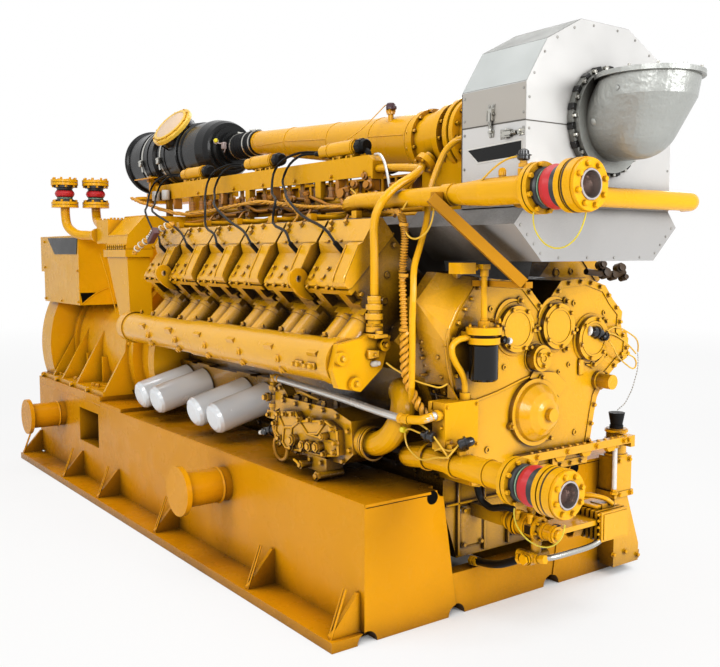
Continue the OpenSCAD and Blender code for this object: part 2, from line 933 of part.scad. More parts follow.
module prelube_pump() {
  y = -125;
  z = 395;
  color(yellow) {
    x_rod(34, [2070, 2140], y, z);
    x_rod(44, [2140, 2250], y, z + 2);
    x_rod(30, [2250, 2330], y, z);
    x_rod(50, [2120, 2134], y, z);
    span([1875.3, 2074], [y - 24, y + 24], [370, 424]);
    z_rod(20, 2225, y, [290, 360]);
    y_rod(26, 2225, [y - 50, y + 50], 285);
    x_rod(21, [2160, 2225], y - 24, 285);
    for (i = [0 : 6])
      span([2186 + i * 22, 2198 + i * 22], [128, 292], [318, 434]);
    span([2180, 2334], [140, 280], [326, 426]);
    span([2200, 2310], [-94, 150], [384, 404]);
    span([2230, 2290], [180, 240], [426, 452]);
    span([1875.3, 2190], [180, 240], [360, 392]);
  }
}

module hood_brace() {
  wide = 38;
  a = [2152, -600, 1632];
  b = [2330, -326, 1334];
  d = b - a;
  len_ab = norm(d);
  color(yellow) {
    translate(a)
      rotate([0, acos(d[2] / len_ab), atan2(d[1], d[0])])
        translate([-wide / 2, -wide / 2, 0])
          cube([wide, wide, len_ab]);
    span([2146, 2172], [-596, -560.3], [1622, 1650]);
    span([2080.3, 2350], [-334, -300], [1318, 1340]);
  }
}

module manifold_brackets() {
  color(yellow)
    both_sides()
      difference() {
        union() {
          x_plate([
            [-826, 1020], [-800, 950], [-700, 930], [-600, 1010], [-560, 1130],
            [-640, 1150], [-690, 1128], [-800, 1110]
          ], [1846.3, 1878]);
          for (p = [[-795, 1060], [-735, 965], [-602, 1100]])
            x_rod(24, [1878, 1900], p[0], p[1]);
        }
        for (p = [[-795, 1060], [-735, 965], [-610, 1105]])
          x_rod(9, [1866, 1901], p[0], p[1]);
      }
}

module hood_latches() {
  color(silver)
    both_sides() {
      for (p = [[2215, 1925], [2215, 1800]])
        span([p[0] - 16, p[0] + 16], [-404, -397], [p[1], p[1] + 34]);
      span([2208, 2222], [-418, -404], [1806, 1952]);
      span([2196, 2234], [-424, -418], [1930, 1952]);
      span([2300, 2380], [-404, -397], [1806, 1838]);
      span([2310, 2370], [-416, -404], [1812, 1832]);
    }
}

module ignition_leads() {
  lead_r = 6;
  boot_r = 10;
  boot_len = 84;
  seat = deck + head_high + plug_floor + 0.3;
  top = bank_pt(plug_y, seat + boot_len);
  inner = bank_pt(plug_y, seat + boot_len - 20);
  color(dark)
    both_sides()
      for (c = [0 : 2])
        for (s = [0, 1]) {
          plug = cyl_x(2 * c + s) + plug_x;
          start = coil_at[c] - coil_end - 0.3;
          swept(route([
            [start, -340 - 20 * s, 1898 - 10 * s],
            [start - 50, -340 - 20 * s, 1898 - 10 * s],
            [coil_at[c] - 205 + 15 * s, -382, 1902 - 12 * s],
            [coil_at[c] - 300 + 65 * s, -420, 1872 - 22 * s],
            [coil_at[c] - 338 + 83 * s, -446, 1812 - 34 * s],
            [coil_at[c] - 255 + 115 * s, -504, 1716 + 8 * s],
            [coil_at[c] - 90 + 100 * s, -584, 1674],
            [plug - 245 - 85 * s, -634, 1572 + 22 * s],
            [plug - 82 - 36 * s, -672, 1532 + 8 * s],
            [plug, top[0], top[1]],
            [plug, inner[0], inner[1]]
          ], 3), lead_r, 6, [0, 0.6, 0.4]);
          in_bank()
            translate([plug, plug_y, seat])
              cylinder(r = boot_r, h = boot_len);
        }
}

module fuel_header() {
  color(yellow)
    both_sides() {
      x_rod(20, [-340, 1700], -330, 1668);
      x_rod(14, [-340, 1640], -318, 1638);
      for (i = [0 : 13])
        z_rod(11, -270 + i * 118, -330, [1668, 1835.7]);
      for (i = [0 : cyl_count - 1])
        swept(route([
          [cyl_x(i) - 30, -330, 1662], [cyl_x(i) - 10, -350, 1626], [cyl_x(i), -400, 1602],
          [cyl_x(i), -470, 1592], [cyl_x(i), -560, 1592]
        ], 3), 11, 8, [1, 0, 0]);
      for (i = [0 : cyl_count - 1])
        span([cyl_x(i) - 16, cyl_x(i) + 16], [-574, -546], [1576.3, 1606]);
    }
}

module crossover_pipe() {
  z = 1637;
  color(yellow) {
    y_rod(36, 2452, [-473.7, 440], z);
    translate([2402, 440, z])
      rotate_extrude(angle = 90)
        translate([50, 0])
          circle(r = 36);
    x_rod(36, [2396, 2402], 490, z);
    y_rod(50, 2452, [-473, -460], z);
  }
}

module water_bellows() {
  big = 67;
  color(dark)
    for (w = [[2597.3, 107.4, -520, 1642], [2482.3, 117.4, -480, 681]])
      translate([w[0], w[2], w[3]])
        rotate([0, 90, 0])
          rotate_extrude()
            polygon([
              [0, 0], [64, 0], [64, 10], [58, 16], [62, 26], [big, w[1] / 2 - 14],
              [big + 3, w[1] / 2], [big, w[1] / 2 + 14], [62, w[1] - 26], [58, w[1] - 16],
              [64, w[1] - 10], [64, w[1]], [0, w[1]]
            ]);
}

module cooler_elbow() {
  color(yellow) {
    swept(route([
      [1724.3, -540, 694], [1752, -540, 694], [1790, -540, 704], [1848, -536, 738], [1888, -526, 796],
      [1888, -508, 852], [1858, -484, 898], [1812, -456, 908], [1766, -420, 884], [1760, -380, 878], [1760, -340.3, 878]
    ], 4), 48, 18, [-0.3, 1, 0.4]);
  }
}

module oil_hose() {
  color(silver)
    swept(route([
      [1070, -590, 850.3], [1070, -590, 870], [1094, -600, 886], [1160, -606, 886],
      [1400, -614, 878], [1640, -612, 864], [1850, -606, 846], [2000, -598, 836],
      [2090, -584, 844], [2126, -556, 860], [2126, -525.3, 860]
    ], 4), 15, 12, [0, 0.2, 1]);
}

module breather_head() {
  x = 2160;
  y = -349;
  color(yellow) {
    z_rod(60, x, y, [1111, 1134]);
    span([2092.3, x], [y - 50, y + 50], [1122, 1154]);
    z_rod(66, x, y, [1146, 1172]);
    z_rod(22, x, y, [1172, 1194]);
    z_rod(11.5, x, y, [1194, 1376]);
    z_rod(16, x, y, [1356, 1382]);
    span([x - 24, x + 20], [y - 26, y + 10], [1382, 1400]);
    span([x - 55, x + 5], [y - 124, y - 48], [1366, 1406]);
    y_rod(13, x - 15, [y - 50, y - 26], 1390);
    swept(route([
      [x - 20, y - 50, 1136], [x - 34, y - 84, 1130], [x - 42, y - 112, 1110],
      [x - 42, y - 116, 1078], [x - 42, y - 96, 1040], [x - 42, y - 66, 1000],
      [x - 42, y - 52, 960], [x - 42, y - 52, 905.3]
    ], 4), 12, 12, [1, 0, 0]);
    z_rod(20, x - 42, y - 52, [905.3, 930]);
  }
}

module engine_pipes() {
  vx = 1874;
  vy = -634;
  color(yellow) {
    swept(route([
      [vx, vy, 1160], [vx, vy, 1300], [vx, vy, 1450], [vx, vy, 1556],
      [vx + 14, vy + 20, 1622], [1900, -560, 1680], [1912, -480, 1728], [1880, -420, 1756],
      [1800, -370, 1770], [1660, -352, 1784], [1560, -350, 1790], [1522.3, -350, 1790]
    ], 3), 16, 12, [0.4, 0.9, 0]);
    for (z = [1180, 1216, 1250])
      z_rod(25, vx, vy, [z, z + 16]);
    span([vx - 18, vx + 20], [vy - 24, vy + 24], [1150.3, 1180]);
    swept(route([
      [2084.7, -340, 1866], [2062, -340, 1866], [2030, -366, 1856], [2004, -392, 1828], [1990, -410, 1790],
      [1978, -440, 1710], [1972, -458, 1640], [1982, -474, 1560], [2002, -520, 1470],
      [2030, -572, 1390], [2050, -592, 1300], [2050, -596, 1200], [2050, -596, 1080],
      [2040, -590, 960], [2000, -560, 900]
    ], 3), 12, 12, [0.4, 0.9, 0]);
  }
}

module filler_cap() {
  color(dark) {
    z_rod(30, 2003, 624, [662.3, 676]);
    translate([2003, 624, 676])
      cylinder(r1 = 26, r2 = 36, h = 56);
  }
}

base_rails();
base_cross_members();
base_gussets();
lifting_trunnions();
base_packers();
generator_frame();
generator_end_housing();
generator_feet();
terminal_box();
flywheel_housing();
crankcase();
oil_pan();
cylinder_heads();
rocker_covers();
lifting_eyes();
intake_manifolds();
manifold_brackets();
intake_ducts();
charge_cooler();
cooler_pipes();
cooler_bellows();
air_filter();
air_filter_cap();
filter_cradle();
intake_bellows();
intake_pipe();
mixer_housing();
exhaust_shield();
heat_housing();
exhaust_hood();
hood_latches();
exhaust_elbow();
ignition_rails();
ignition_coils();
ignition_leads();
fuel_header();
upper_water_pipe();
crossover_pipe();
upper_water_flange();
lower_water_pipe();
lower_water_flange();
water_bellows();
gear_case();
gear_covers();
oil_filters();
filter_heads();
oil_cooler();
cooler_elbow();
oil_hose();
breather_canister();
breather_head();
bracket_box();
engine_pipes();
hood_brace();
oil_filler();
filler_cap();
prelube_pump();
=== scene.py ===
import math
import bmesh
import bpy
from mathutils import Matrix, Vector


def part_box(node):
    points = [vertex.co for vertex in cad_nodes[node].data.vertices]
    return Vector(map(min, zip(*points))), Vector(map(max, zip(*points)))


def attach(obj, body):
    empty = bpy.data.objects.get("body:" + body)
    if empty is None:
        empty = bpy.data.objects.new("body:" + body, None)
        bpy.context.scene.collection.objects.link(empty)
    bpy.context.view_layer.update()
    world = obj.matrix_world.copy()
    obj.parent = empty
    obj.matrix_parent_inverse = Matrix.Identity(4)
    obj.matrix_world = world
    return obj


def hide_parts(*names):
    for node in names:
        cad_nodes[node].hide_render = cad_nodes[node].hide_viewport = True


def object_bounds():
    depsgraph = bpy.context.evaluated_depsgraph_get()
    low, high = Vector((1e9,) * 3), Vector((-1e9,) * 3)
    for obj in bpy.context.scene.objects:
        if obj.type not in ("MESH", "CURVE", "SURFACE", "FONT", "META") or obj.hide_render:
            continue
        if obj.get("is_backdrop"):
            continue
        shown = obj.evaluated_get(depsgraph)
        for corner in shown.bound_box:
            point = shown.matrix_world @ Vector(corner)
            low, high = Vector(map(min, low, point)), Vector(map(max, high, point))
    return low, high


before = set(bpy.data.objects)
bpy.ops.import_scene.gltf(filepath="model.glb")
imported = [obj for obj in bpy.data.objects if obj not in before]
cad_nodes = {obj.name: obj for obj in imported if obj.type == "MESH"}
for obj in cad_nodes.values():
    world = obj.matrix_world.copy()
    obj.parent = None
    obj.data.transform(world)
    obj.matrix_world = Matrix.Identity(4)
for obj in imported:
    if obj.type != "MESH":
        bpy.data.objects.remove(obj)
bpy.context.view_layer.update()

# ---------------------------------------------------------------- studio
# The set stands on a plain pale floor in a white studio. Large soft lamps hang
# over it and stand at its near end, its near corner, its near side and its back.
white = (1, 1, 1, 1)


def in_scene(name, data):
    made = bpy.data.objects.new(name, data)
    bpy.context.scene.collection.objects.link(made)
    return made


camera_data = bpy.data.cameras.new("camera")
camera_data.lens = 45.125
camera_data.sensor_width = 36.0
camera_data.clip_end = 200.0
camera = in_scene("camera", camera_data)
turn, drop, roll = math.radians(53.897), math.radians(5.079), math.radians(-0.056)
look = Vector((-math.sin(turn) * math.cos(drop), math.cos(turn) * math.cos(drop), -math.sin(drop)))
right = look.cross(Vector((0, 0, 1))).normalized()
above = right.cross(look)
camera.matrix_world = (
    Matrix.Translation((4.54488, -2.64771, 1.44))
    @ Matrix((right, above, -look)).transposed().to_4x4()
    @ Matrix.Rotation(roll, 4, "Z")
)
bpy.context.scene.camera = camera
bpy.context.scene.view_settings.view_transform = "Standard"


def soft_lamp(name, place, towards, size, watts):
    data = bpy.data.lights.new(name, "AREA")
    data.shape = "RECTANGLE"
    data.size, data.size_y = size
    data.energy = watts
    lamp = in_scene(name, data)
    lamp.location = place
    lamp.rotation_euler = (Vector(towards) - Vector(place)).to_track_quat("-Z", "Y").to_euler()


soft_lamp("overhead", (0.6, -0.6, 6.5), (0.0, 0.0, 1.0), (6.0, 4.0), 190)
soft_lamp("end_front", (6.9, 0.8, 2.6), (1.5, 0.0, 1.2), (2.0, 2.0), 168)
soft_lamp("corner", (6.6, -5.2, 3.3), (0.2, -0.3, 1.2), (2.4, 2.4), 165)
soft_lamp("filter_side", (2.2, -6.8, 2.1), (0.2, 0.0, 0.9), (4.0, 2.4), 26)
soft_lamp("glint", (1.6, -5.4, 4.0), (0.4, -0.4, 1.1), (0.9, 0.9), 55)
soft_lamp("back", (-3.0, 6.0, 5.0), (0.0, 0.0, 1.2), (5.0, 3.0), 150)


def node_in(tree, kind, feeds=None, **settings):
    """A new node, each of whose inputs is given a value or another node's output."""
    made = tree.nodes.new(kind)
    for name, value in settings.items():
        setattr(made, name, value)
    for socket, value in (feeds or {}).items():
        if isinstance(value, bpy.types.NodeSocket):
            tree.links.new(value, made.inputs[socket])
        else:
            made.inputs[socket].default_value = value
    return made


def maths(tree, first, second, operation="MULTIPLY", clamp=False):
    return node_in(tree, "ShaderNodeMath", {0: first, 1: second}, operation=operation,
        use_clamp=clamp).outputs[0]


def stretch(tree, value, low, high, to_low=0.0, to_high=1.0):
    ends = {"Value": value, "From Min": low, "From Max": high, "To Min": to_low, "To Max": to_high}
    return node_in(tree, "ShaderNodeMapRange", ends).outputs["Result"]


def shown_rays(tree):
    """1 for the rays that bring the background to the eye: straight, off gloss or through glass."""
    rays = node_in(tree, "ShaderNodeLightPath").outputs
    share = rays["Is Camera Ray"]
    for kind in ("Is Glossy Ray", "Is Transmission Ray"):
        share = maths(tree, share, rays[kind], "MAXIMUM")
    return share


world = bpy.data.worlds.new("studio")
bpy.context.scene.world = world
world.use_nodes = True
sky = world.node_tree
sky.nodes.clear()
seen = node_in(sky, "ShaderNodeBackground", {"Color": white, "Strength": 1.0})
lit = node_in(sky, "ShaderNodeBackground", {"Color": (1.0, 0.99, 0.97, 1), "Strength": 0.2})
pick = node_in(sky, "ShaderNodeMixShader", {"Fac": shown_rays(sky), 1: lit.outputs[0], 2: seen.outputs[0]})
node_in(sky, "ShaderNodeOutputWorld", {"Surface": pick.outputs[0]})


def new_material(name, surface):
    """A material whose surface(tree) gives the shader that it ends in."""
    made = bpy.data.materials.new(name)
    made.use_nodes = True
    made.node_tree.nodes.clear()
    shader = surface(made.node_tree)
    node_in(made.node_tree, "ShaderNodeOutputMaterial", {"Surface": shader.outputs[0]})
    return made


def floor_surface(tree):
    """Matt white that glows to the eye, fades out with distance and goes dark where it is shut in."""
    matt = node_in(tree, "ShaderNodeBsdfDiffuse", {"Color": (0.86, 0.86, 0.85, 1)})
    glow = node_in(tree, "ShaderNodeEmission", {"Color": white})
    spot = node_in(tree, "ShaderNodeTexCoord").outputs["Object"]
    away = node_in(tree, "ShaderNodeVectorMath", {0: spot}, operation="LENGTH").outputs["Value"]
    shut = node_in(tree, "ShaderNodeAmbientOcclusion", {"Distance": 1.2}, samples=8).outputs["AO"]
    open_sky = maths(tree, stretch(tree, shut, 0.16, 0.46), shown_rays(tree))
    share = maths(tree, open_sky, stretch(tree, away, 4.0, 14.0, 0.86, 1.0))
    return node_in(tree, "ShaderNodeMixShader", {"Fac": share, 1: matt.outputs[0], 2: glow.outputs[0]})


floor_reach, floor_level = 40, -0.0005
floor_mesh = bpy.data.meshes.new("floor")
floor_mesh.from_pydata(
    [(x * floor_reach, y * floor_reach, floor_level) for x, y in ((-1, -1), (1, -1), (1, 1), (-1, 1))],
    [], [(0, 1, 2, 3)],
)
floor_mesh.materials.append(new_material("studio_floor", floor_surface))
in_scene("floor", floor_mesh)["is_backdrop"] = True

# ---------------------------------------------------------------- yellow paint
# Frame, engine and generator are sprayed with one coat of glossy yellow
# enamel over bare castings and plate. Its corners are painted brown, partly
# dust and old oil and partly painted shade, and its deepest recesses are
# painted near black, a painted shade.


def srgb(red, green, blue):
    parts = (c / 255 for c in (red, green, blue))
    return tuple(((c + 0.055) / 1.055) ** 2.4 if c > 0.0393 else c / 12.92 for c in parts) + (1.0,)


def new_group(name, wants, gives, kind="ShaderNodeTree"):
    """A node group with inputs (name, kind, first value) and outputs (name, kind)."""
    group = bpy.data.node_groups.new(name, kind)
    for label, sort, first in wants:
        socket = group.interface.new_socket(label, in_out="INPUT", socket_type="NodeSocket" + sort)
        if first is not None:
            socket.default_value = first
    for label, sort in gives:
        group.interface.new_socket(label, in_out="OUTPUT", socket_type="NodeSocket" + sort)
    return group, group.nodes.new("NodeGroupInput").outputs, group.nodes.new("NodeGroupOutput").inputs


def blotches(tree, spot, scale, detail=4.0):
    noise = node_in(tree, "ShaderNodeTexNoise", {"Vector": spot, "Scale": scale, "Detail": detail})
    return noise.outputs["Fac"]


def shut_in(tree, reach, samples, low, high):
    """1 in a closed corner and 0 in the open, within a reach."""
    shade = node_in(tree, "ShaderNodeAmbientOcclusion", {"Distance": reach}, samples=samples)
    return stretch(tree, shade.outputs["AO"], low, high, 1.0, 0.0)


def mixed(tree, share, first, second):
    return node_in(tree, "ShaderNodeMix", {0: share, 6: first, 7: second}, data_type="RGBA").outputs[2]


corner_dirt_and_shade, wants, gives = new_group("corner_dirt_and_shade", [
    ("Clean", "Color", (0.8, 0.8, 0.8, 1)), ("Dirt And Shade", "Color", (0.1, 0.1, 0.1, 1)),
    ("Reach", "Float", 0.12), ("Amount", "Float", 0.8), ("Patch Size", "Float", 6.0),
    ("Shade Reach", "Float", 0.45), ("Shade Amount", "Float", 0.8),
], [("Color", "Color"), ("Mask", "Float")])
spot = node_in(corner_dirt_and_shade, "ShaderNodeTexCoord").outputs["Object"]
# The first mask browns the corners: partly dust and old oil, partly painted shade.
closed = shut_in(corner_dirt_and_shade, wants["Reach"], 6, 0.28, 0.86)
patch = stretch(corner_dirt_and_shade, blotches(corner_dirt_and_shade, spot, wants["Patch Size"]), 0.3, 0.7, 0.72, 1.12)
mask = maths(corner_dirt_and_shade, maths(corner_dirt_and_shade, closed, patch), wants["Amount"])
tone = stretch(corner_dirt_and_shade, blotches(corner_dirt_and_shade, spot, 2.3, 2.0), 0.35, 0.65, 0.0, 0.05)
worn = mixed(corner_dirt_and_shade, tone, wants["Clean"], wants["Dirt And Shade"])
grimy_and_shaded = mixed(corner_dirt_and_shade, mask, worn, wants["Dirt And Shade"])
# The second mask paints the deepest recesses near black: painted shade.
deep_shade_share = maths(corner_dirt_and_shade, shut_in(corner_dirt_and_shade, wants["Shade Reach"], 8, 0.2, 0.6), wants["Shade Amount"])
corner_dirt_and_shade.links.new(mixed(corner_dirt_and_shade, deep_shade_share, grimy_and_shaded, srgb(24, 18, 12)), gives["Color"])
corner_dirt_and_shade.links.new(mask, gives["Mask"])

skin_grain, wants, gives = new_group("skin_grain", [
    ("Fine", "Float", 220.0), ("Coarse", "Float", 18.0), ("Coarse Share", "Float", 0.5),
], [("Height", "Float"), ("Gloss Patches", "Float")])
spot = node_in(skin_grain, "ShaderNodeTexCoord").outputs["Object"]
fine = maths(skin_grain, blotches(skin_grain, spot, wants["Fine"], 3.0), 0.35)
coarse = maths(skin_grain, blotches(skin_grain, spot, wants["Coarse"], 3.0), wants["Coarse Share"])
skin_grain.links.new(maths(skin_grain, fine, coarse, "ADD", clamp=True), gives["Height"])
skin_grain.links.new(stretch(skin_grain, blotches(skin_grain, spot, 9.0), 0.3, 0.7), gives["Gloss Patches"])


def painted(name, clean, dirt_and_shade, gloss, grain=(200.0, 30.0, 0.3), bump=(0.05, 0.001), reach=0.14,
        amount=0.85, metal=0.0, coat=0.0, deep_shade=(0.45, 0.85), shine=0.5):
    """Paint or bare skin: its colour (or what gives it), its brown of dirt and painted shade, its gloss range
    and its grain.
    """
    def surface(tree):
        dirty_and_shaded = node_in(tree, "ShaderNodeGroup", {
            "Clean": clean(tree) if callable(clean) else srgb(*clean), "Dirt And Shade": srgb(*dirt_and_shade), "Reach": reach,
            "Amount": amount, "Shade Reach": deep_shade[0], "Shade Amount": deep_shade[1],
        }, node_tree=corner_dirt_and_shade)
        sizes = {"Fine": grain[0], "Coarse": grain[1], "Coarse Share": grain[2]}
        skin = node_in(tree, "ShaderNodeGroup", sizes, node_tree=skin_grain).outputs
        raised = node_in(tree, "ShaderNodeBump", {
            "Strength": bump[0], "Distance": bump[1], "Height": skin["Height"],
        })
        return node_in(tree, "ShaderNodeBsdfPrincipled", {
            "Base Color": dirty_and_shaded.outputs["Color"], "Normal": raised.outputs["Normal"], "Metallic": metal,
            "Roughness": stretch(tree, skin["Gloss Patches"], 0.0, 1.0, *gloss), "Coat Weight": coat,
            "Coat Roughness": 0.08, "Specular IOR Level": shine,
        })
    return new_material(name, surface)


yellow = (249, 182, 12)
base_yellow = (236, 162, 10)
# These browns darken the corners: partly dust and old oil, partly painted shade.
dirt_shade_brown = (96, 54, 8)
dark_dirt_shade_brown = (76, 40, 6)
yellow_plate = painted("yellow_plate", yellow, dirt_shade_brown, (0.2, 0.36), (160.0, 5.0, 0.5), (0.18, 0.003),
    shine=0.14)
yellow_casting = painted("yellow_casting", yellow, dark_dirt_shade_brown, (0.14, 0.3), (110.0, 34.0, 0.7),
    (0.45, 0.004), reach=0.2, amount=1.0, coat=0.1, deep_shade=(0.55, 0.95), shine=0.5)
yellow_pipe = painted("yellow_pipe", yellow, dirt_shade_brown, (0.16, 0.32), (120.0, 12.0, 0.4), (0.16, 0.002),
    deep_shade=(0.25, 0.6), shine=0.25)
yellow_frame = painted("yellow_frame", base_yellow, dirt_shade_brown, (0.2, 0.36), (160.0, 5.0, 0.5), (0.18, 0.003),
    shine=0.12)
yellow_case = painted("yellow_case", yellow, dirt_shade_brown, (0.2, 0.36), (160.0, 12.0, 0.5), (0.2, 0.003),
    reach=0.08, amount=0.7, deep_shade=(0.25, 0.5), shine=0.25)
# The hood brace gets a darker copy of the yellow: painted shade under the hood.
shaded_brace_yellow = painted("shaded_brace_yellow", (198, 136, 16), dirt_shade_brown, (0.26, 0.42), (160.0, 12.0, 0.8),
    (0.3, 0.003), reach=0.12, amount=1.0, deep_shade=(0.3, 0.7), shine=0.2)


def finish_node(material, *names):
    for name in names:
        data = cad_nodes[name].data
        data.materials.clear()
        data.materials.append(material)


finish_node(
    yellow_frame, "base_rails", "base_cross_members", "base_gussets", "lifting_trunnions", "base_packers",
)
finish_node(
    yellow_case, "generator_frame", "generator_feet", "terminal_box", "charge_cooler",
    "generator_end_housing", "flywheel_housing",
)
finish_node(
    yellow_plate, "filter_cradle", "ignition_rails", "bracket_box", "lifting_eyes", "manifold_brackets",
)
finish_node(
    yellow_casting, "crankcase", "oil_pan", "cylinder_heads", "rocker_covers", "intake_manifolds",
    "gear_case", "gear_covers", "filter_heads", "oil_cooler", "prelube_pump", "oil_filler",
)
finish_node(
    yellow_pipe, "intake_ducts", "cooler_pipes", "air_filter_cap", "intake_pipe", "ignition_coils",
    "fuel_header", "mixer_housing", "upper_water_pipe", "crossover_pipe", "upper_water_flange",
    "lower_water_pipe", "lower_water_flange", "cooler_elbow", "breather_head", "engine_pipes",
)
finish_node(shaded_brace_yellow, "hood_brace")

# ---------------------------------------------------------------- silver cladding
# The exhaust hood and the box below it are folded from satin aluminium sheet.
# The elbow is a rough casting in heat-resisting silver paint.
hood_sheet = painted("hood_sheet", (216, 215, 213), (120, 116, 108), (0.3, 0.44), (320.0, 2.2, 0.9),
    (0.12, 0.006), reach=0.1, amount=0.5, metal=0.35)
# The box and shield under the hood get a darker copy of the sheet, with heavy corner darkening: painted shade
# from the hood above them.
shaded_sheet = painted("shaded_sheet", (176, 175, 174), (58, 52, 38), (0.34, 0.5), (320.0, 3.0, 0.9),
    (0.12, 0.006), reach=0.5, amount=0.95, metal=0.2)
silver_cast = painted("silver_cast", (168, 170, 166), (60, 54, 38), (0.3, 0.46), (60.0, 14.0, 1.0),
    (0.6, 0.012), reach=0.2, amount=0.8, metal=0.5)
plated_steel = painted("plated_steel", (190, 188, 180), (70, 66, 56), (0.18, 0.34), bump=(0.1, 0.001),
    reach=0.02, amount=0.7, metal=0.9)
finish_node(hood_sheet, "exhaust_hood")
finish_node(shaded_sheet, "heat_housing", "exhaust_shield")
finish_node(silver_cast, "exhaust_elbow")
finish_node(plated_steel, "hood_latches")

# ---------------------------------------------------------------- rubber, black parts and canisters
# Bellows are moulded black rubber, the air filter is a semi-gloss moulding and
# the breather canister and plug leads are black enamel and rubber. The oil
# canisters are pale enamelled steel, and the oil hose is covered in bright braid.
black_rubber = painted("black_rubber", (26, 26, 27), (12, 12, 12), (0.42, 0.6), (260.0, 40.0, 0.3),
    (0.2, 0.001), reach=0.03, amount=0.8, shine=0.12)
filter_plastic = painted("filter_plastic", (24, 25, 26), (10, 10, 10), (0.2, 0.34), (180.0, 22.0, 0.4),
    (0.16, 0.002), reach=0.05, amount=0.7, coat=0.12, shine=0.16)
black_enamel = painted("black_enamel", (10, 10, 11), (8, 8, 8), (0.1, 0.22), (140.0, 10.0, 0.3),
    (0.08, 0.001), reach=0.03, amount=0.6, coat=0.5, shine=0.15)
lead_rubber = painted("lead_rubber", (14, 14, 14), (10, 10, 10), (0.3, 0.45), (300.0, 60.0, 0.3),
    (0.1, 0.0005), reach=0.02, amount=0.6, shine=0.12)
grey_enamel = painted("grey_enamel", (242, 249, 255), (112, 114, 116), (0.16, 0.28), (120.0, 8.0, 0.3),
    (0.06, 0.001), reach=0.03, amount=0.3, metal=0.1, coat=0.5, deep_shade=(0.25, 0.05), shine=0.8)
braid = painted("braid", (222, 222, 218), (60, 58, 52), (0.16, 0.3), (420.0, 90.0, 0.8), (0.3, 0.001),
    reach=0.03, amount=0.5, metal=0.5, deep_shade=(0.2, 0.3))
finish_node(black_rubber, "intake_bellows", "filler_cap")
finish_node(filter_plastic, "air_filter")
finish_node(black_enamel, "breather_canister")
finish_node(lead_rubber, "ignition_leads")
finish_node(grey_enamel, "oil_filters")
finish_node(braid, "oil_hose")

# ---------------------------------------------------------------- earth loops
# A thin yellow and green wire hangs in a loop below each pair of water
# flanges and bonds them across the rubber. Each end is under a flange bolt.
wire_yellow = painted("wire_yellow", (226, 206, 50), (96, 92, 20), (0.28, 0.42), (240.0, 60.0, 0.3),
    (0.1, 0.0005), reach=0.01, amount=0.5, deep_shade=(0.2, 0.3))
wire_across = 0.005
upper_loop = [
    (2.585, -0.552, 1.5665), (2.586, -0.555, 1.55), (2.589, -0.556, 1.532), (2.594, -0.555, 1.514),
    (2.602, -0.552, 1.497), (2.612, -0.548, 1.482), (2.624, -0.543, 1.469), (2.638, -0.537, 1.46),
    (2.653, -0.53, 1.455), (2.668, -0.524, 1.455), (2.683, -0.518, 1.459), (2.697, -0.513, 1.467),
    (2.71, -0.508, 1.479), (2.721, -0.504, 1.494), (2.73, -0.501, 1.511), (2.737, -0.499, 1.53),
    (2.742, -0.498, 1.546), (2.745, -0.498, 1.5625),
]
lower_loop = [
    (2.464, -0.492, 0.5915), (2.466, -0.496, 0.577), (2.472, -0.5, 0.561), (2.482, -0.503, 0.545),
    (2.496, -0.504, 0.53), (2.513, -0.504, 0.516), (2.532, -0.503, 0.505), (2.552, -0.501, 0.498),
    (2.573, -0.499, 0.494), (2.594, -0.497, 0.494), (2.614, -0.495, 0.498), (2.632, -0.493, 0.506),
    (2.648, -0.491, 0.518), (2.661, -0.489, 0.533), (2.67, -0.488, 0.55), (2.675, -0.487, 0.568),
    (2.677, -0.486, 0.586),
]


def hanging_wire(name, points, across, finish):
    """A round wire through the points, riding on the set."""
    curve = bpy.data.curves.new(name, "CURVE")
    curve.dimensions = "3D"
    curve.bevel_depth = across / 2
    curve.bevel_resolution = 3
    curve.use_fill_caps = True
    run = curve.splines.new("POLY")
    run.points.add(len(points) - 1)
    for k, place in enumerate(points):
        run.points[k].co = (*place, 1)
    run.use_smooth = True
    curve.materials.append(finish)
    wire = in_scene(name, curve)
    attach(wire, "root")


hanging_wire("upper_earth_loop", upper_loop, wire_across, wire_yellow)
hanging_wire("lower_earth_loop", lower_loop, wire_across, wire_yellow)

# ---------------------------------------------------------------- flange bolts
# Hex bolts with washers hold every flange, cover and foot. They are fitted
# before spraying, so most carry the same yellow coat as the part they hold.
hex_bolts, wants, gives = new_group("hex_bolts", [
    ("Geometry", "Geometry", None), ("Across Flats", "Float", 0.019), ("Head Height", "Float", 0.012),
    ("Washer Radius", "Float", 0.016), ("Washer Thickness", "Float", 0.003), ("Sides", "Int", 6),
    ("Seed", "Int", 7), ("Finish", "Material", None),
], [("Geometry", "Geometry")], "GeometryNodeTree")
corner = maths(hex_bolts, wants["Across Flats"], 0.57735)
height = wants["Head Height"]
thin = wants["Washer Thickness"]


def lifted(level, kind, sizes):
    """One turned part of the bolt, lifted to its level."""
    shape = node_in(hex_bolts, kind, sizes).outputs["Mesh"]
    lift = node_in(hex_bolts, "ShaderNodeCombineXYZ", {"Z": level}).outputs[0]
    return node_in(hex_bolts, "GeometryNodeTransform", {"Geometry": shape, "Translation": lift}).outputs[0]


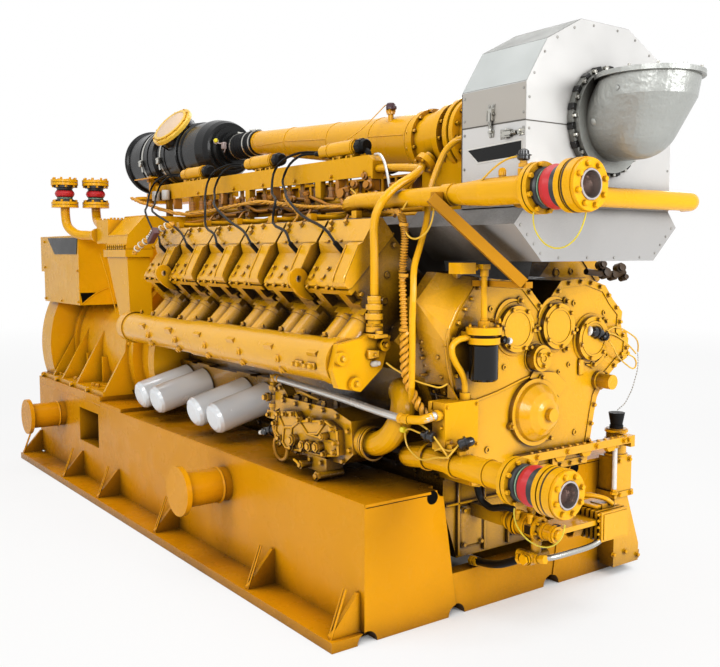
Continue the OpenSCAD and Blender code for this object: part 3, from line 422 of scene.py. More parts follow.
washer = lifted(maths(hex_bolts, thin, 0.5), "GeometryNodeMeshCylinder", {
    "Vertices": 14, "Radius": wants["Washer Radius"], "Depth": thin,
})
head = lifted(maths(hex_bolts, thin, maths(hex_bolts, height, 0.5), "ADD"), "GeometryNodeMeshCylinder", {
    "Vertices": wants["Sides"], "Radius": corner, "Depth": height,
})
crown = lifted(maths(hex_bolts, thin, height, "ADD"), "GeometryNodeMeshCone", {
    "Vertices": wants["Sides"], "Radius Bottom": corner, "Radius Top": maths(hex_bolts, corner, 0.78),
    "Depth": maths(hex_bolts, height, 0.16),
})
whole = node_in(hex_bolts, "GeometryNodeJoinGeometry")
for part in (washer, head, crown):
    hex_bolts.links.new(part, whole.inputs[0])
aim = node_in(hex_bolts, "GeometryNodeInputNamedAttribute", {"Name": "aim"}, data_type="FLOAT_VECTOR")
upright = node_in(hex_bolts, "FunctionNodeAlignRotationToVector", {"Vector": aim.outputs["Attribute"]},
    axis="Z")
spin = node_in(hex_bolts, "FunctionNodeRandomValue", {2: 0.0, 3: 1.047, "Seed": wants["Seed"]},
    data_type="FLOAT")
about = node_in(hex_bolts, "ShaderNodeCombineXYZ", {"Z": spin.outputs[1]})
angle = node_in(hex_bolts, "FunctionNodeEulerToRotation", {0: about.outputs[0]})
twist = {"Rotation": upright.outputs["Rotation"], "Rotate By": angle.outputs[0]}
facing = node_in(hex_bolts, "FunctionNodeRotateRotation", twist, rotation_space="LOCAL")
placed = node_in(hex_bolts, "GeometryNodeInstanceOnPoints", {
    "Points": wants["Geometry"], "Instance": whole.outputs[0], "Rotation": facing.outputs[0],
})
solid = node_in(hex_bolts, "GeometryNodeRealizeInstances", {0: placed.outputs[0]})
sprayed = node_in(hex_bolts, "GeometryNodeSetMaterial", {"Geometry": solid.outputs[0],
    "Material": wants["Finish"]})
hex_bolts.links.new(sprayed.outputs[0], gives["Geometry"])
bolt_inputs = {
    item.name: item.identifier for item in hex_bolts.interface.items_tree
    if item.item_type == "SOCKET" and item.in_out == "INPUT"
}


def bolted(name, places, finish, across, height, washer, thickness, sides=6):
    """One piece that holds a bolt at every (place, way out)."""
    points = bpy.data.meshes.new(name + "_points")
    points.from_pydata([tuple(spot) for spot, _ in places], [], [])
    aims = points.attributes.new("aim", "FLOAT_VECTOR", "POINT")
    for index, (_, out) in enumerate(places):
        aims.data[index].vector = out
    piece = in_scene(name, points)
    step = piece.modifiers.new("bolts", "NODES")
    step.node_group = hex_bolts
    for label, value in (
        ("Across Flats", across), ("Head Height", height), ("Washer Radius", washer),
        ("Washer Thickness", thickness), ("Sides", sides), ("Seed", 7), ("Finish", finish),
    ):
        step[bolt_inputs[label]] = value
    made = bpy.data.meshes.new_from_object(piece.evaluated_get(bpy.context.evaluated_depsgraph_get()))
    piece.modifiers.remove(step)
    made.name = name
    piece.data = made
    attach(piece, "root")


def circle_of(count, radius, centre, aim, first=0.0):
    """Places evenly round a circle that faces along aim, each with that aim."""
    aim = Vector(aim).normalized()
    side = Vector((0, 0, 1)).cross(aim)
    side = side.normalized() if side.length > 0.1 else Vector((1, 0, 0))
    over = aim.cross(side)
    spots = []
    for k in range(count):
        angle = first + 2 * math.pi * k / count
        spots.append((Vector(centre) + radius * (math.cos(angle) * side + math.sin(angle) * over), aim))
    return spots


upper_axis = (-0.52, 1.642)
lower_axis = (-0.48, 0.681)
flange_places = []
for axis, back, front in ((upper_axis, 2.597, 2.78), (lower_axis, 2.482, 2.684)):
    flange_places += circle_of(8, 0.0735, (back, *axis), (1, 0, 0), 0.3)
    flange_places += circle_of(8, 0.0625, (front, *axis), (1, 0, 0), 0.3)
    flange_places += circle_of(8, 0.068, (back - 0.037, *axis), (-1, 0, 0), 0.3)
bolted("water_flange_bolts", flange_places, yellow_pipe, 0.015, 0.009, 0.0085, 0.002)
plate_places = []
for x, y in ((-1.18, -0.77), (-1.13, -0.59)):
    plate_places += circle_of(8, 0.068, (x, y, 1.901), (0, 0, 1), 0.2)
    plate_places += circle_of(8, 0.07, (x, y, 1.866), (0, 0, -1), 0.2)
    plate_places += circle_of(8, 0.07, (x, y, 1.763), (0, 0, 1), 0.2)
bolted("cooler_flange_bolts", plate_places, yellow_pipe, 0.014, 0.01, 0.009, 0.002)

# ---------------------------------------------------------------- water bellows
# Moulded black rubber bellows take up movement in the water pipes. A red band
# round the crown and a thin pale green line mark the rubber grade.


def banded(axis, bands):
    """Black rubber with a slightly wavering band of colour between each pair of levels on an axis."""
    def color_of(tree):
        spot = node_in(tree, "ShaderNodeTexCoord").outputs["Object"]
        level = node_in(tree, "ShaderNodeSeparateXYZ", {0: spot}).outputs[axis]
        waver = {0: blotches(tree, spot, 9.0, 2.0), 1: 0.004, 2: level}
        shaky = node_in(tree, "ShaderNodeMath", waver, operation="MULTIPLY_ADD").outputs[0]
        color = srgb(44, 45, 46)
        for low, high, tint in bands:
            reach = {0: shaky, 1: (low + high) / 2 + 0.002, 2: (high - low) / 2}
            inside = node_in(tree, "ShaderNodeMath", reach, operation="COMPARE").outputs[0]
            color = mixed(tree, inside, color, tint)
        return color
    return color_of


band_red, band_green = srgb(206, 34, 40), srgb(150, 190, 160)
water_bands = banded("X", [(2.634, 2.671, band_red), (2.62, 2.6265, band_green), (2.524, 2.562, band_red),
    (2.509, 2.516, band_green)])
cooler_bands = banded("Z", [(1.795, 1.833, band_red), (1.785, 1.7895, band_green)])
for node, bands in (("water_bellows", water_bands), ("cooler_bellows", cooler_bands)):
    finish_node(painted("banded_rubber_" + node.split("_")[0], bands, (14, 13, 12), (0.34, 0.5),
        (220.0, 18.0, 0.5), (0.2, 0.001), reach=0.03, amount=0.8, deep_shade=(0.45, 0.2)), node)

# ---------------------------------------------------------------- bore linings
# A turned steel sleeve lines the mouth of each water pipe and stands a little
# proud of the flange. It is bare metal, bright at the lip; down the bore its
# colour is painted darker and pinker, a painted shade.


def turned(shape, profile, place, aim, steps=32, closed=False):
    """A profile of (radius, height) turned round aim. Flat ends are added if it is open and off the axis."""
    aim, place = Vector(aim).normalized(), Vector(place)
    side = aim.orthogonal().normalized()
    turn_to = Matrix((side, aim.cross(side), aim)).transposed()
    if not closed and profile[0][0] > 0:
        profile = [(0, profile[0][1]), *profile, (0, profile[-1][1])]
    rings = []
    for radius, along in profile:
        angles = [2 * math.pi * k / steps for k in range(steps if radius > 0 else 1)]
        spots = [Vector((radius * math.cos(angle), radius * math.sin(angle), along)) for angle in angles]
        rings.append([shape.verts.new(place + turn_to @ spot) for spot in spots])
    pairs = list(zip(rings, rings[1:]))
    if closed:
        pairs.append((rings[-1], rings[0]))
    for near, far in pairs:
        for k in range(steps):
            n = (k + 1) % steps
            if len(near) == 1:
                shape.faces.new((near[0], far[n], far[k]))
            elif len(far) == 1:
                shape.faces.new((near[k], near[n], far[0]))
            else:
                shape.faces.new((near[k], near[n], far[n], far[k]))


def band(shape, inner, outer, low, high, place, aim, steps):
    """A flat hoop round aim, from one radius to another and from one level to another."""
    corners = [(inner, low), (outer, low), (outer, high), (inner, high)]
    turned(shape, corners, place, aim, steps, closed=True)


def finished(name, shape, finish):
    """The shape as a smooth-shaded piece with sharp creases, riding on the set."""
    bmesh.ops.recalc_face_normals(shape, faces=shape.faces)
    mesh = bpy.data.meshes.new(name)
    shape.to_mesh(mesh)
    shape.free()
    mesh.polygons.foreach_set("use_smooth", [True] * len(mesh.polygons))
    mesh.set_sharp_from_angle(angle=math.radians(38))
    mesh.materials.append(finish)
    piece = in_scene(name, mesh)
    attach(piece, "root")
    return piece


bore_steel = painted("bore_steel", (206, 200, 196), (150, 116, 104), (0.12, 0.26), (90.0, 24.0, 0.4),
    (0.1, 0.001), reach=0.06, amount=0.9, metal=0.85, deep_shade=(0.2, 0.15))
shape = bmesh.new()
for axis, mouth in ((upper_axis, 2.78), (lower_axis, 2.684)):
    turned(shape, [(0.047, 0.0), (0.047, 0.003), (0.0455, 0.0042), (0.0408, 0.0042), (0.0402, 0.002),
        (0.0402, -0.066), (0.0409, -0.066), (0.0409, 0.0)], (mouth, *axis), (1, 0, 0), 56, closed=True)
    turned(shape, [(0, 0), (0.0408, 0), (0.0408, 0.003), (0.03, 0.004), (0.012, 0.01), (0, 0.011)],
        (mouth - 0.0655, *axis), (1, 0, 0), 48)
finished("water_bore_sleeves", shape, bore_steel)

# ---------------------------------------------------------------- exhaust hood
# The hood is pop-riveted from sheet in an upper and a lower half that meet in
# a lapped seam. Spring toggle latches hold the halves on each side.
rivet_steel = painted("rivet_steel", (168, 166, 160), (60, 56, 48), (0.25, 0.4), reach=0.01, amount=0.5,
    metal=0.6)
warm_sheet = painted("warm_sheet", (184, 179, 171), (116, 112, 105), (0.32, 0.46), (320.0, 2.2, 0.9),
    (0.12, 0.006), reach=0.08, amount=0.4, metal=0.3)
seam_dark = painted("seam_dark", (86, 82, 74), (40, 36, 30), (0.4, 0.6), reach=0.02, amount=0.5, metal=0.2)


def block(shape, one, other, edge=0.0):
    """A box between two opposite corners, with its edges cut off by edge."""
    xs, ys, zs = (sorted(pair) for pair in zip(one, other))
    corners = [shape.verts.new((x, y, z)) for x in xs for y in ys for z in zs]
    sides = [(0, 1, 3, 2), (4, 6, 7, 5), (0, 4, 5, 1), (2, 3, 7, 6), (0, 2, 6, 4), (1, 5, 7, 3)]
    faces = [shape.faces.new([corners[k] for k in side]) for side in sides]
    if edge:
        edges = list({e for face in faces for e in face.edges})
        bmesh.ops.bevel(shape, geom=edges, offset=edge, segments=1, affect="EDGES")


def slab(shape, outline, depth, at):
    """A flat outline (u, v) run to a depth, with at(u, v, w) giving each point's place."""
    low = [shape.verts.new(at(u, v, 0.0)) for u, v in outline]
    high = [shape.verts.new(at(u, v, depth)) for u, v in outline]
    shape.faces.new(low[::-1])
    shape.faces.new(high)
    for k in range(len(outline)):
        n = (k + 1) % len(outline)
        shape.faces.new((low[k], low[n], high[n], high[k]))


def through(route, steps):
    """Points of a smooth curve through every point of a route."""
    pts = [Vector(p) for p in route]
    pts = [2 * pts[0] - pts[1]] + pts + [2 * pts[-1] - pts[-2]]
    line = []
    for a, b, c, d in zip(pts, pts[1:], pts[2:], pts[3:]):
        for k in range(steps):
            t = k / steps
            curved = (2 * a - 5 * b + 4 * c - d) * t * t + (3 * b - a - 3 * c + d) * t ** 3
            line.append(0.5 * (2 * b + (c - a) * t + curved))
    return line + [pts[-2]]


def tube(shape, route, radius, sides=8, steps=5, ends=True):
    """A round tube along a route, smooth between its points if steps is above 1."""
    line = through(route, steps) if steps > 1 else [Vector(p) for p in route]
    turns = [2 * math.pi * n / sides for n in range(sides)]
    rings, up = [], None
    for k, point in enumerate(line):
        way = (line[min(k + 1, len(line) - 1)] - line[max(k - 1, 0)]).normalized()
        up = way.orthogonal() if up is None else up - way * up.dot(way)
        up.normalize()
        side = way.cross(up)
        size = radius(k / (len(line) - 1)) if callable(radius) else radius
        rings.append([shape.verts.new(point + size * (math.cos(a) * up + math.sin(a) * side)) for a in turns])
    for near, far in zip(rings, rings[1:]):
        for n in range(sides):
            m = (n + 1) % sides
            shape.faces.new((near[n], near[m], far[m], far[n]))
    if ends:
        shape.faces.new(rings[0][::-1])
        shape.faces.new(rings[-1])


hood_wall, hood_front = 0.397, 2.4002
shape = bmesh.new()
for side in (-1, 1):
    wall = side * hood_wall
    for x0, x1, z0, z1 in ((2.087, 2.4, 1.8825, 1.8865), (2.0855, 2.0885, 1.604, 2.008)):
        block(shape, (x0, wall, z0), (x1, wall + side * 0.0012, z1))
block(shape, (2.4, -0.3965, 1.8815), (2.4012, -0.191, 1.885))
block(shape, (2.4, 0.191, 1.8815), (2.4012, 0.3965, 1.885))
finished("hood_seams", shape, seam_dark)
shape = bmesh.new()
for side in (-1, 1):
    slab(shape, [(2.089, 1.8875), (2.398, 1.8875), (2.398, 2.009), (2.089, 2.009)], 0.001,
        lambda u, v, w: (u, side * (hood_wall + w), v))
finished("hood_side_panels", shape, warm_sheet)

outline = [(-0.397, 1.6), (-0.397, 2.011), (-0.3, 2.162), (-0.13, 2.25), (0.13, 2.25), (0.3, 2.162),
    (0.397, 2.011), (0.397, 1.6)]
rivet_places = []
for (y0, z0), (y1, z1) in zip(outline, outline[1:]):
    span = math.dist((y0, z0), (y1, z1))
    inward = Vector((0, z1 - z0, y0 - y1)).normalized() * 0.014
    count = max(2, round(span / 0.105))
    for k in range(count):
        t = (k + 0.5) / count
        rivet_places.append(((hood_front, y0 + (y1 - y0) * t + inward.y, z0 + (z1 - z0) * t + inward.z),
            (1, 0, 0)))
for side in (-1, 1):
    for x in (2.1, 2.388):
        rivet_places += [((x, side * 0.3982, z), (0, side, 0)) for z in (1.64, 1.74, 1.86, 1.91, 1.99)]
    rivet_places += [((x, side * 0.3972, 1.614), (0, side, 0)) for x in (2.13, 2.21, 2.29, 2.37)]
box_corners = [(-0.447, 1.538), (-0.31, 1.411), (0.31, 1.411), (0.447, 1.538)]
for first, last in ((0, 1), (2, 3), (1, 2)):
    (y0, z0), (y1, z1) = box_corners[first], box_corners[last]
    for k in range(4):
        t = (k + 0.5) / 4
        rivet_places.append(((hood_front, (y0 + (y1 - y0) * t) * 0.97, z0 + (z1 - z0) * t + 0.012),
            (1, 0, 0)))
bolted("hood_rivets", rivet_places, rivet_steel, 0.007, 0.0014, 0.0048, 0.0006, sides=10)

# ---------------------------------------------------------------- toggle latches
# Each latch is a pressed lever on a riveted plate that pulls a hook through a
# coil spring. One stands across the side seam and one lies below it.
shape = bmesh.new()
latch_rivets = []


def latch(origin, along, out, size):
    """One latch from its lever plate at the origin towards its hook."""
    along, out, origin = Vector(along), Vector(out), Vector(origin)
    across = out.cross(along)

    def at(u, v, w):
        return origin + size * (along * u + across * v + out * w)

    def plate(u0, u1, half, w0, w1, end=1.0):
        slab(shape, [(u0, -half), (u0, half), (u1, half * end), (u1, -half * end)], w1 - w0,
            lambda u, v, w: at(u, v, w0 + w))

    plate(0.0, 0.034, 0.017, 0.0, 0.0025, 0.75)
    plate(0.016, 0.052, 0.01, 0.0025, 0.011, 0.9)
    plate(0.03, 0.06, 0.006, 0.011, 0.0145)
    for half in (-1, 1):
        slab(shape, [(0.02, half * 0.01), (0.02, half * 0.0125), (0.056, half * 0.0125),
            (0.056, half * 0.01)], 0.014, at)
    tube(shape, [at(0.034, -0.018, 0.008), at(0.034, 0.018, 0.008)], 0.0028 * size, 8, 1)
    tube(shape, [at(0.046, 0, 0.007), at(0.098, 0, 0.007)], 0.002 * size, 6, 1)
    coil = [at(0.054 + 0.028 * k / 56, 0.0062 * math.cos(math.pi * k / 4),
        0.0075 + 0.0062 * math.sin(math.pi * k / 4)) for k in range(57)]
    tube(shape, coil, 0.0012 * size, 5, 1)
    plate(0.088, 0.112, 0.013, 0.0, 0.0025, 0.8)
    plate(0.09, 0.098, 0.007, 0.0025, 0.012)
    tube(shape, [at(0.092, -0.009, 0.006), at(0.092, 0.009, 0.006)], 0.0022 * size, 6, 1)
    for u, v in ((0.006, -0.009), (0.006, 0.009), (0.107, 0.0)):
        latch_rivets.append((at(u, v, 0.0025), out))


for side in (-1, 1):
    latch((2.238, side * 0.3982, 1.953), (0, 0, -1), (0, side, 0), 1.0)
    latch((2.282, side * 0.3972, 1.846), (1, 0, 0), (0, side, 0), 1.0)
latches = finished("hood_toggle_latches", shape, plated_steel)
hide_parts("hood_latches")
bolted("latch_rivets", latch_rivets, rivet_steel, 0.0075, 0.0016, 0.005, 0.0006, sides=10)

# ---------------------------------------------------------------- blank name plate
# A dark enamelled plate with a pale edge is glued to the near side of the hood.
# It carries no lettering.
plate_edge = painted("plate_edge", (226, 226, 222), (150, 148, 140), (0.25, 0.4), bump=(0.03, 0.001),
    reach=0.02, amount=0.3)
plate_dark = painted("plate_dark", (12, 12, 13), (6, 6, 6), (0.24, 0.36), (200.0, 20.0, 0.3),
    (0.03, 0.001), reach=0.02, amount=0.3, shine=0.25)
border, field = bmesh.new(), bmesh.new()
outer = [(2.113, 1.812), (2.386, 1.823), (2.386, 1.762), (2.166, 1.755)]
middle = (sum(p[0] for p in outer) / 4, sum(p[1] for p in outer) / 4)
inner = [(u + 0.006 * (1 if u < middle[0] else -1), v + 0.006 * (1 if v < middle[1] else -1))
    for u, v in outer]
for shape, line, base in ((border, outer, hood_wall), (field, inner, hood_wall + 0.0005)):
    slab(shape, line, 0.0008, lambda u, v, w: (u, -(base + w), v))
finished("name_plate_edges", border, plate_edge)
finished("name_plate_fields", field, plate_dark)

# ---------------------------------------------------------------- exhaust elbow
# The elbow is a heavy silver-painted casting. Black clips hold its ring to the
# hood, with plated bolts between them, and plugs close holes in the casting.


def add_turned(shape, boxes, matrix):
    """Adds boxes (corner, corner, edge) drawn round the origin and then moved into place."""
    part = bmesh.new()
    for box in boxes:
        block(part, *box)
    bmesh.ops.transform(part, matrix=matrix, verts=part.verts)
    held = bpy.data.meshes.new("held")
    part.to_mesh(held)
    part.free()
    shape.from_mesh(held)
    bpy.data.meshes.remove(held)


shape, black_clips = bmesh.new(), bmesh.new()
clip_start = 0.8 * math.pi / 18
for k, (spot, _) in enumerate(circle_of(18, 0.189, (2.411, 0, 1.905), (1, 0, 0), clip_start)):
    clip = ((-0.013, -0.01, -0.012), (0.014, 0.0075, 0.012), 0.002)
    turn_to = Matrix.Rotation(clip_start + 2 * math.pi * k / 18, 4, "X")
    add_turned(black_clips, [clip], Matrix.Translation(spot) @ turn_to)
turned(shape, [(0, 0), (0.017, 0), (0.015, 0.012), (0.008, 0.016), (0, 0.017)], (2.47, -0.128, 1.892),
    (0.4, -0.9, -0.1), 16)
turned(shape, [(0, 0), (0.009, 0), (0.008, 0.006), (0, 0.008)], (2.586, -0.162, 1.985), (0, -1, 0), 12)
finished("elbow_bosses", shape, silver_cast)
finished("elbow_clamp_screws", black_clips, black_enamel)
ring_bolts = circle_of(18, 0.187, (2.4222, 0, 1.905), (1, 0, 0), clip_start + 0.17)
bolted("elbow_ring_bolts", ring_bolts, plated_steel, 0.013, 0.009, 0.009, 0.002)
bolted("elbow_flange_bolts", circle_of(12, 0.1755, (2.59, 0, 2.0475), (0, 0, 1), 0.26), plated_steel,
    0.009, 0.006, 0.0062, 0.001)
shape = bmesh.new()
band(shape, 0.1362, 0.148, 0.0, 0.002, (2.59, 0, 2.047), (0, 0, 1), 72)
finished("elbow_gasket_face", shape, plated_steel)

# ---------------------------------------------------------------- hood roof sheets
# Thin sheets are laid over the frame of the hood's sloping roof and lapped
# along each fold. They carry a painted reflection: the lower slopes are
# painted a darker grey than the walls, and the ridge darker still.
roof_reflection_sheet = painted("roof_reflection_sheet", (176, 180, 178), (90, 88, 82), (0.34, 0.5), (320.0, 2.2, 0.9),
    (0.12, 0.006), reach=0.04, amount=0.4, metal=0.3)
ridge_reflection_sheet = painted("ridge_reflection_sheet", (124, 125, 120), (70, 68, 62), (0.34, 0.5), (320.0, 2.2, 0.9),
    (0.12, 0.006), reach=0.04, amount=0.4, metal=0.3)
lower_roof, ridge = bmesh.new(), bmesh.new()
for side in (-1, 1):
    for shape, a, b in ((lower_roof, (0.3965, 2.0125), (0.3005, 2.1615)),
            (ridge, (0.2995, 2.1625), (0.1305, 2.2495))):
        away = Vector((b[1] - a[1], a[0] - b[0])).normalized() * 0.0012
        slab(shape, [a, b, (b[0] + away.x, b[1] + away.y), (a[0] + away.x, a[1] + away.y)], 0.312,
            lambda u, v, w: (2.0865 + w, side * u, v))
slab(ridge, [(-0.1295, 2.25), (0.1295, 2.25), (0.1295, 2.2512), (-0.1295, 2.2512)], 0.312,
    lambda u, v, w: (2.0865 + w, u, v))
finished("hood_roof_sheets", lower_roof, roof_reflection_sheet)
finished("hood_ridge_sheets", ridge, ridge_reflection_sheet)

# ---------------------------------------------------------------- air filter fittings
# Two steel straps with over-centre buckles hold the filter in its cradle.
# Worm-drive bands clamp the rubber bellows, and a gauge stands on the dome.
filter_axis = (0.0, 2.075)


def hoop(shape, x0, x1, inner, outer, axis=filter_axis, steps=72):
    """A hoop round a line that runs lengthwise at (y, z)."""
    band(shape, inner, outer, 0, x1 - x0, (x0, *axis), (1, 0, 0), steps)


shape = bmesh.new()
buckles = bmesh.new()
for x, body in ((-1.292, 0.2033), (-1.048, 0.1853)):
    hoop(shape, x - 0.011, x + 0.011, body - 0.0005, body + 0.0022)
    for side in (-1, 1):
        block(buckles, (x - 0.017, side * (body + 0.012) - 0.01, 2.02),
            (x + 0.017, side * (body + 0.012) + 0.01, 2.062), 0.003)
        tube(buckles, [(x - 0.02, side * (body + 0.02), 2.052), (x + 0.02, side * (body + 0.02), 2.052)],
            0.004, 8, 1)
        slab(buckles, [(x - 0.012, 1.985), (x + 0.012, 1.985), (x + 0.009, 2.045), (x - 0.009, 2.045)],
            0.003, lambda u, v, w: (u, side * (body - 0.002 + w + 0.01 * (v - 1.985) / 0.06), v))
for x, body in ((-0.2935, 0.0743), (-0.079, 0.0703), (-0.143, 0.0745)):
    hoop(shape, x - 0.0065, x + 0.0065, body - 0.0005, body + 0.0018, steps=48)
    block(buckles, (x - 0.006, -0.02, 2.075 + body), (x + 0.006, 0.02, 2.075 + body + 0.01), 0.002)
finished("filter_straps", shape, plated_steel)
finished("filter_buckles", buckles, plated_steel)

shape = bmesh.new()
for x, body in ((-1.215, 0.2033), (-1.335, 0.2033), (-1.105, 0.1853), (-0.985, 0.1853)):
    hoop(shape, x - 0.005, x + 0.005, body - 0.001, body + 0.004)
hoop(shape, -1.562, -1.548, 0.2155, 0.2195)
hoop(shape, -0.79, -0.784, 0.184, 0.19)
hoop(shape, -0.752, -0.748, 0.184, 0.191)
hoop(shape, -0.54, -0.522, 0.165, 0.173)
for x, r in ((-0.42, 0.14), (-0.405, 0.136), (-0.374, 0.118), (-0.338, 0.098)):
    hoop(shape, x - 0.003, x + 0.003, r - 0.022, r)
finished("filter_ribs", shape, filter_plastic)

cap_aim = Vector((0.1026, -0.7547, 0.648)).normalized()
cap_foot = Vector((-0.953, 0.02, 2.105))
cap_cream = painted("cap_cream", (238, 208, 176), (196, 150, 90), (0.3, 0.46), (160.0, 8.0, 0.5),
    (0.08, 0.001), reach=0.02, amount=0.4, deep_shade=(0.2, 0.1))
cap_rim = painted("cap_rim", (252, 206, 72), (150, 96, 24), (0.22, 0.36), (160.0, 8.0, 0.5),
    (0.08, 0.001), reach=0.02, amount=0.5, deep_shade=(0.2, 0.1))
shape = bmesh.new()
turned(shape, [(0, 0), (0.112, 0), (0.112, 0.0014), (0.11, 0.0024), (0, 0.0036)],
    cap_foot + cap_aim * 0.2415, cap_aim, 64)
finished("cap_face", shape, cap_cream)
shape = bmesh.new()
turned(shape, [(0.1495, 0.0), (0.153, 0.002), (0.153, 0.022), (0.148, 0.0275), (0.1325, 0.0275),
    (0.1325, 0.0265), (0.1495, 0.02)], cap_foot + cap_aim * 0.2085, cap_aim, 72, closed=True)
turned(shape, [(0.1125, 0.0), (0.13, 0.0), (0.13, 0.003), (0.127, 0.005), (0.115, 0.005),
    (0.1125, 0.003)], cap_foot + cap_aim * 0.2413, cap_aim, 72, closed=True)
finished("cap_rim", shape, cap_rim)
bolted("cap_screws", circle_of(10, 0.14, cap_foot + cap_aim * 0.236, cap_aim, 0.2), yellow_pipe, 0.009,
    0.005, 0.006, 0.001)
shape = bmesh.new()
side = cap_aim.orthogonal().normalized()
over = cap_aim.cross(side)
for k in range(4):
    angle = math.pi / 4 + math.pi / 2 * k
    out = math.cos(angle) * side + math.sin(angle) * over
    route = [cap_foot + out * (0.129 + away) + cap_aim * rise
        for away, rise in ((0, 0.12), (0.008, 0.15), (0.024, 0.205))]
    tube(shape, route, 0.0045, 8, 3)
    middle, half = cap_foot + out * 0.135 + cap_aim * 0.138, out.cross(cap_aim) * 0.024
    tube(shape, [middle + half, middle - half], 0.0065, 8, 1)
finished("cap_clips", shape, lead_rubber)

signal_yellow = painted("signal_yellow", (240, 222, 40), (120, 96, 20), (0.2, 0.34), reach=0.01,
    amount=0.3, deep_shade=(0.2, 0.1))
tag_grey = painted("tag_grey", (176, 158, 154), (96, 80, 76), (0.3, 0.5), reach=0.01, amount=0.4,
    deep_shade=(0.2, 0.1))
shape = bmesh.new()
turned(shape, [(0, 0), (0.013, 0), (0.013, 0.012), (0.01, 0.016), (0, 0.017)], (-0.38, -0.118, 2.108),
    (0.75, -0.6, 0.3), 20)
finished("dome_gauge_button", shape, signal_yellow)
shape = bmesh.new()
turned(shape, [(0.017, 0), (0.017, 0.016)], (-0.39, -0.11, 2.103), (0.75, -0.6, 0.3), 20)
block(shape, (-0.345, -0.104, 2.058), (-0.318, -0.08, 2.098), 0.003)
tube(shape, [(-0.372, -0.12, 2.1), (-0.352, -0.112, 2.092), (-0.334, -0.098, 2.088),
    (-0.322, -0.09, 2.06), (-0.33, -0.092, 2.04)], 0.0035, 6)
finished("dome_gauge", shape, tag_grey)

# ---------------------------------------------------------------- coil connectors
# A black moulded plug closes the front end of each ignition coil. Two rubber
# boots leave its back end and grow thinner towards the plug leads.
coil_middles = (-0.266, 0.489, 1.175)
coil_z = 1.893
shape, boots, bands = bmesh.new(), bmesh.new(), bmesh.new()
for side in (-1, 1):
    y = side * 0.35
    for x in coil_middles:
        turned(shape, [(0.0295, 0), (0.0315, 0.004), (0.0315, 0.038), (0.0285, 0.04), (0.0285, 0.054),
            (0.024, 0.06)], (x + 0.212, y, coil_z), (1, 0, 0), 28)
        for spot, _ in circle_of(8, 0.0315, (x + 0.232, y, coil_z), (1, 0, 0)):
            tube(shape, [spot - Vector((0.016, 0, 0)), spot + Vector((0.014, 0, 0))], 0.0025, 6, 1)
        for s in (0, 1):
            spot = (x - 0.061, side * (0.34 + 0.02 * s), 1.898 - 0.01 * s)
            turned(boots, [(0, -0.001), (0.0105, 0), (0.0115, 0.006), (0.01, 0.022), (0.0115, 0.026),
                (0.0095, 0.046), (0.0068, 0.052), (0, 0.052)], spot, (-1, 0, 0), 18)
        hoop(bands, x + 0.004, x + 0.012, 0.0335, 0.0362, (y, coil_z), 32)
        hoop(bands, x + 0.182, x + 0.19, 0.0335, 0.0362, (y, coil_z), 32)
    tube(boots, [(1.435, y, 1.878), (1.452, y - side * 0.002, 1.864), (1.462, y, 1.845)], 0.012, 12)
finished("coil_plugs", shape, lead_rubber)
finished("coil_boots", boots, lead_rubber)
finished("coil_bands", bands, yellow_pipe)
saddle_bolts = []
for side in (-1, 1):
    for x in coil_middles:
        saddle_bolts += [((x + dx, side * 0.3665, 1.852), (0, side, 0))
            for dx in (0.056, 0.104, 0.156, 0.194)]
    saddle_bolts += [((x, side * 0.3782, 1.776), (0, side, 0))
        for x in (-0.64, -0.5, -0.1, 0.32, 0.62, 0.92, 1.22, 1.46)]
bolted("coil_rail_bolts", saddle_bolts, yellow_pipe, 0.013, 0.008, 0.01, 0.002)

# ---------------------------------------------------------------- intake pipe and mixer
# The intake pipe is rolled from sheet in strakes and welded, and widens up to
# the gas mixer, whose cast rings are bolted together.
shape = bmesh.new()


def pipe_spot(x, angle):
    radius = 0.063 + 0.067 * (x + 0.08) / 1.59 + 0.0005
    mid = 2.077 - math.tan(math.radians(5.5)) * (x + 0.08)
    return Vector((x, -radius * math.cos(angle), mid + radius * math.sin(angle)))


for x in (-0.035, 0.33, 0.76, 1.13, 1.415):
    ring = [pipe_spot(x, 2 * math.pi * k / 48) for k in range(49)]
    tube(shape, ring, 0.0026, 6, 1, ends=False)
for start, stop, first, last in ((-0.055, 0.33, -0.42, 0.02), (0.33, 0.76, 0.02, 0.1),
        (0.76, 1.13, -0.25, -0.12), (1.13, 1.415, 0.15, 0.2)):
    tube(shape, [pipe_spot(start + (stop - start) * k / 14, first + (last - first) * k / 14)
        for k in range(15)], 0.0026, 6, 1)
finished("intake_weld_seams", shape, yellow_pipe)
mixer_bolts = []
for count, radius, x, z, out, first in ((12, 0.133, 1.482, 1.93, 1, 0.25), (12, 0.1335, 1.652, 1.932, 1, 0.1),
        (14, 0.131, 1.756, 1.936, 1, 0.2), (12, 0.133, 1.452, 1.93, -1, 0.25)):
    mixer_bolts += circle_of(count, radius, (x, 0, z), (out, 0, 0), first)
bolted("mixer_ring_bolts", mixer_bolts, yellow_casting, 0.014, 0.01, 0.0095, 0.002)

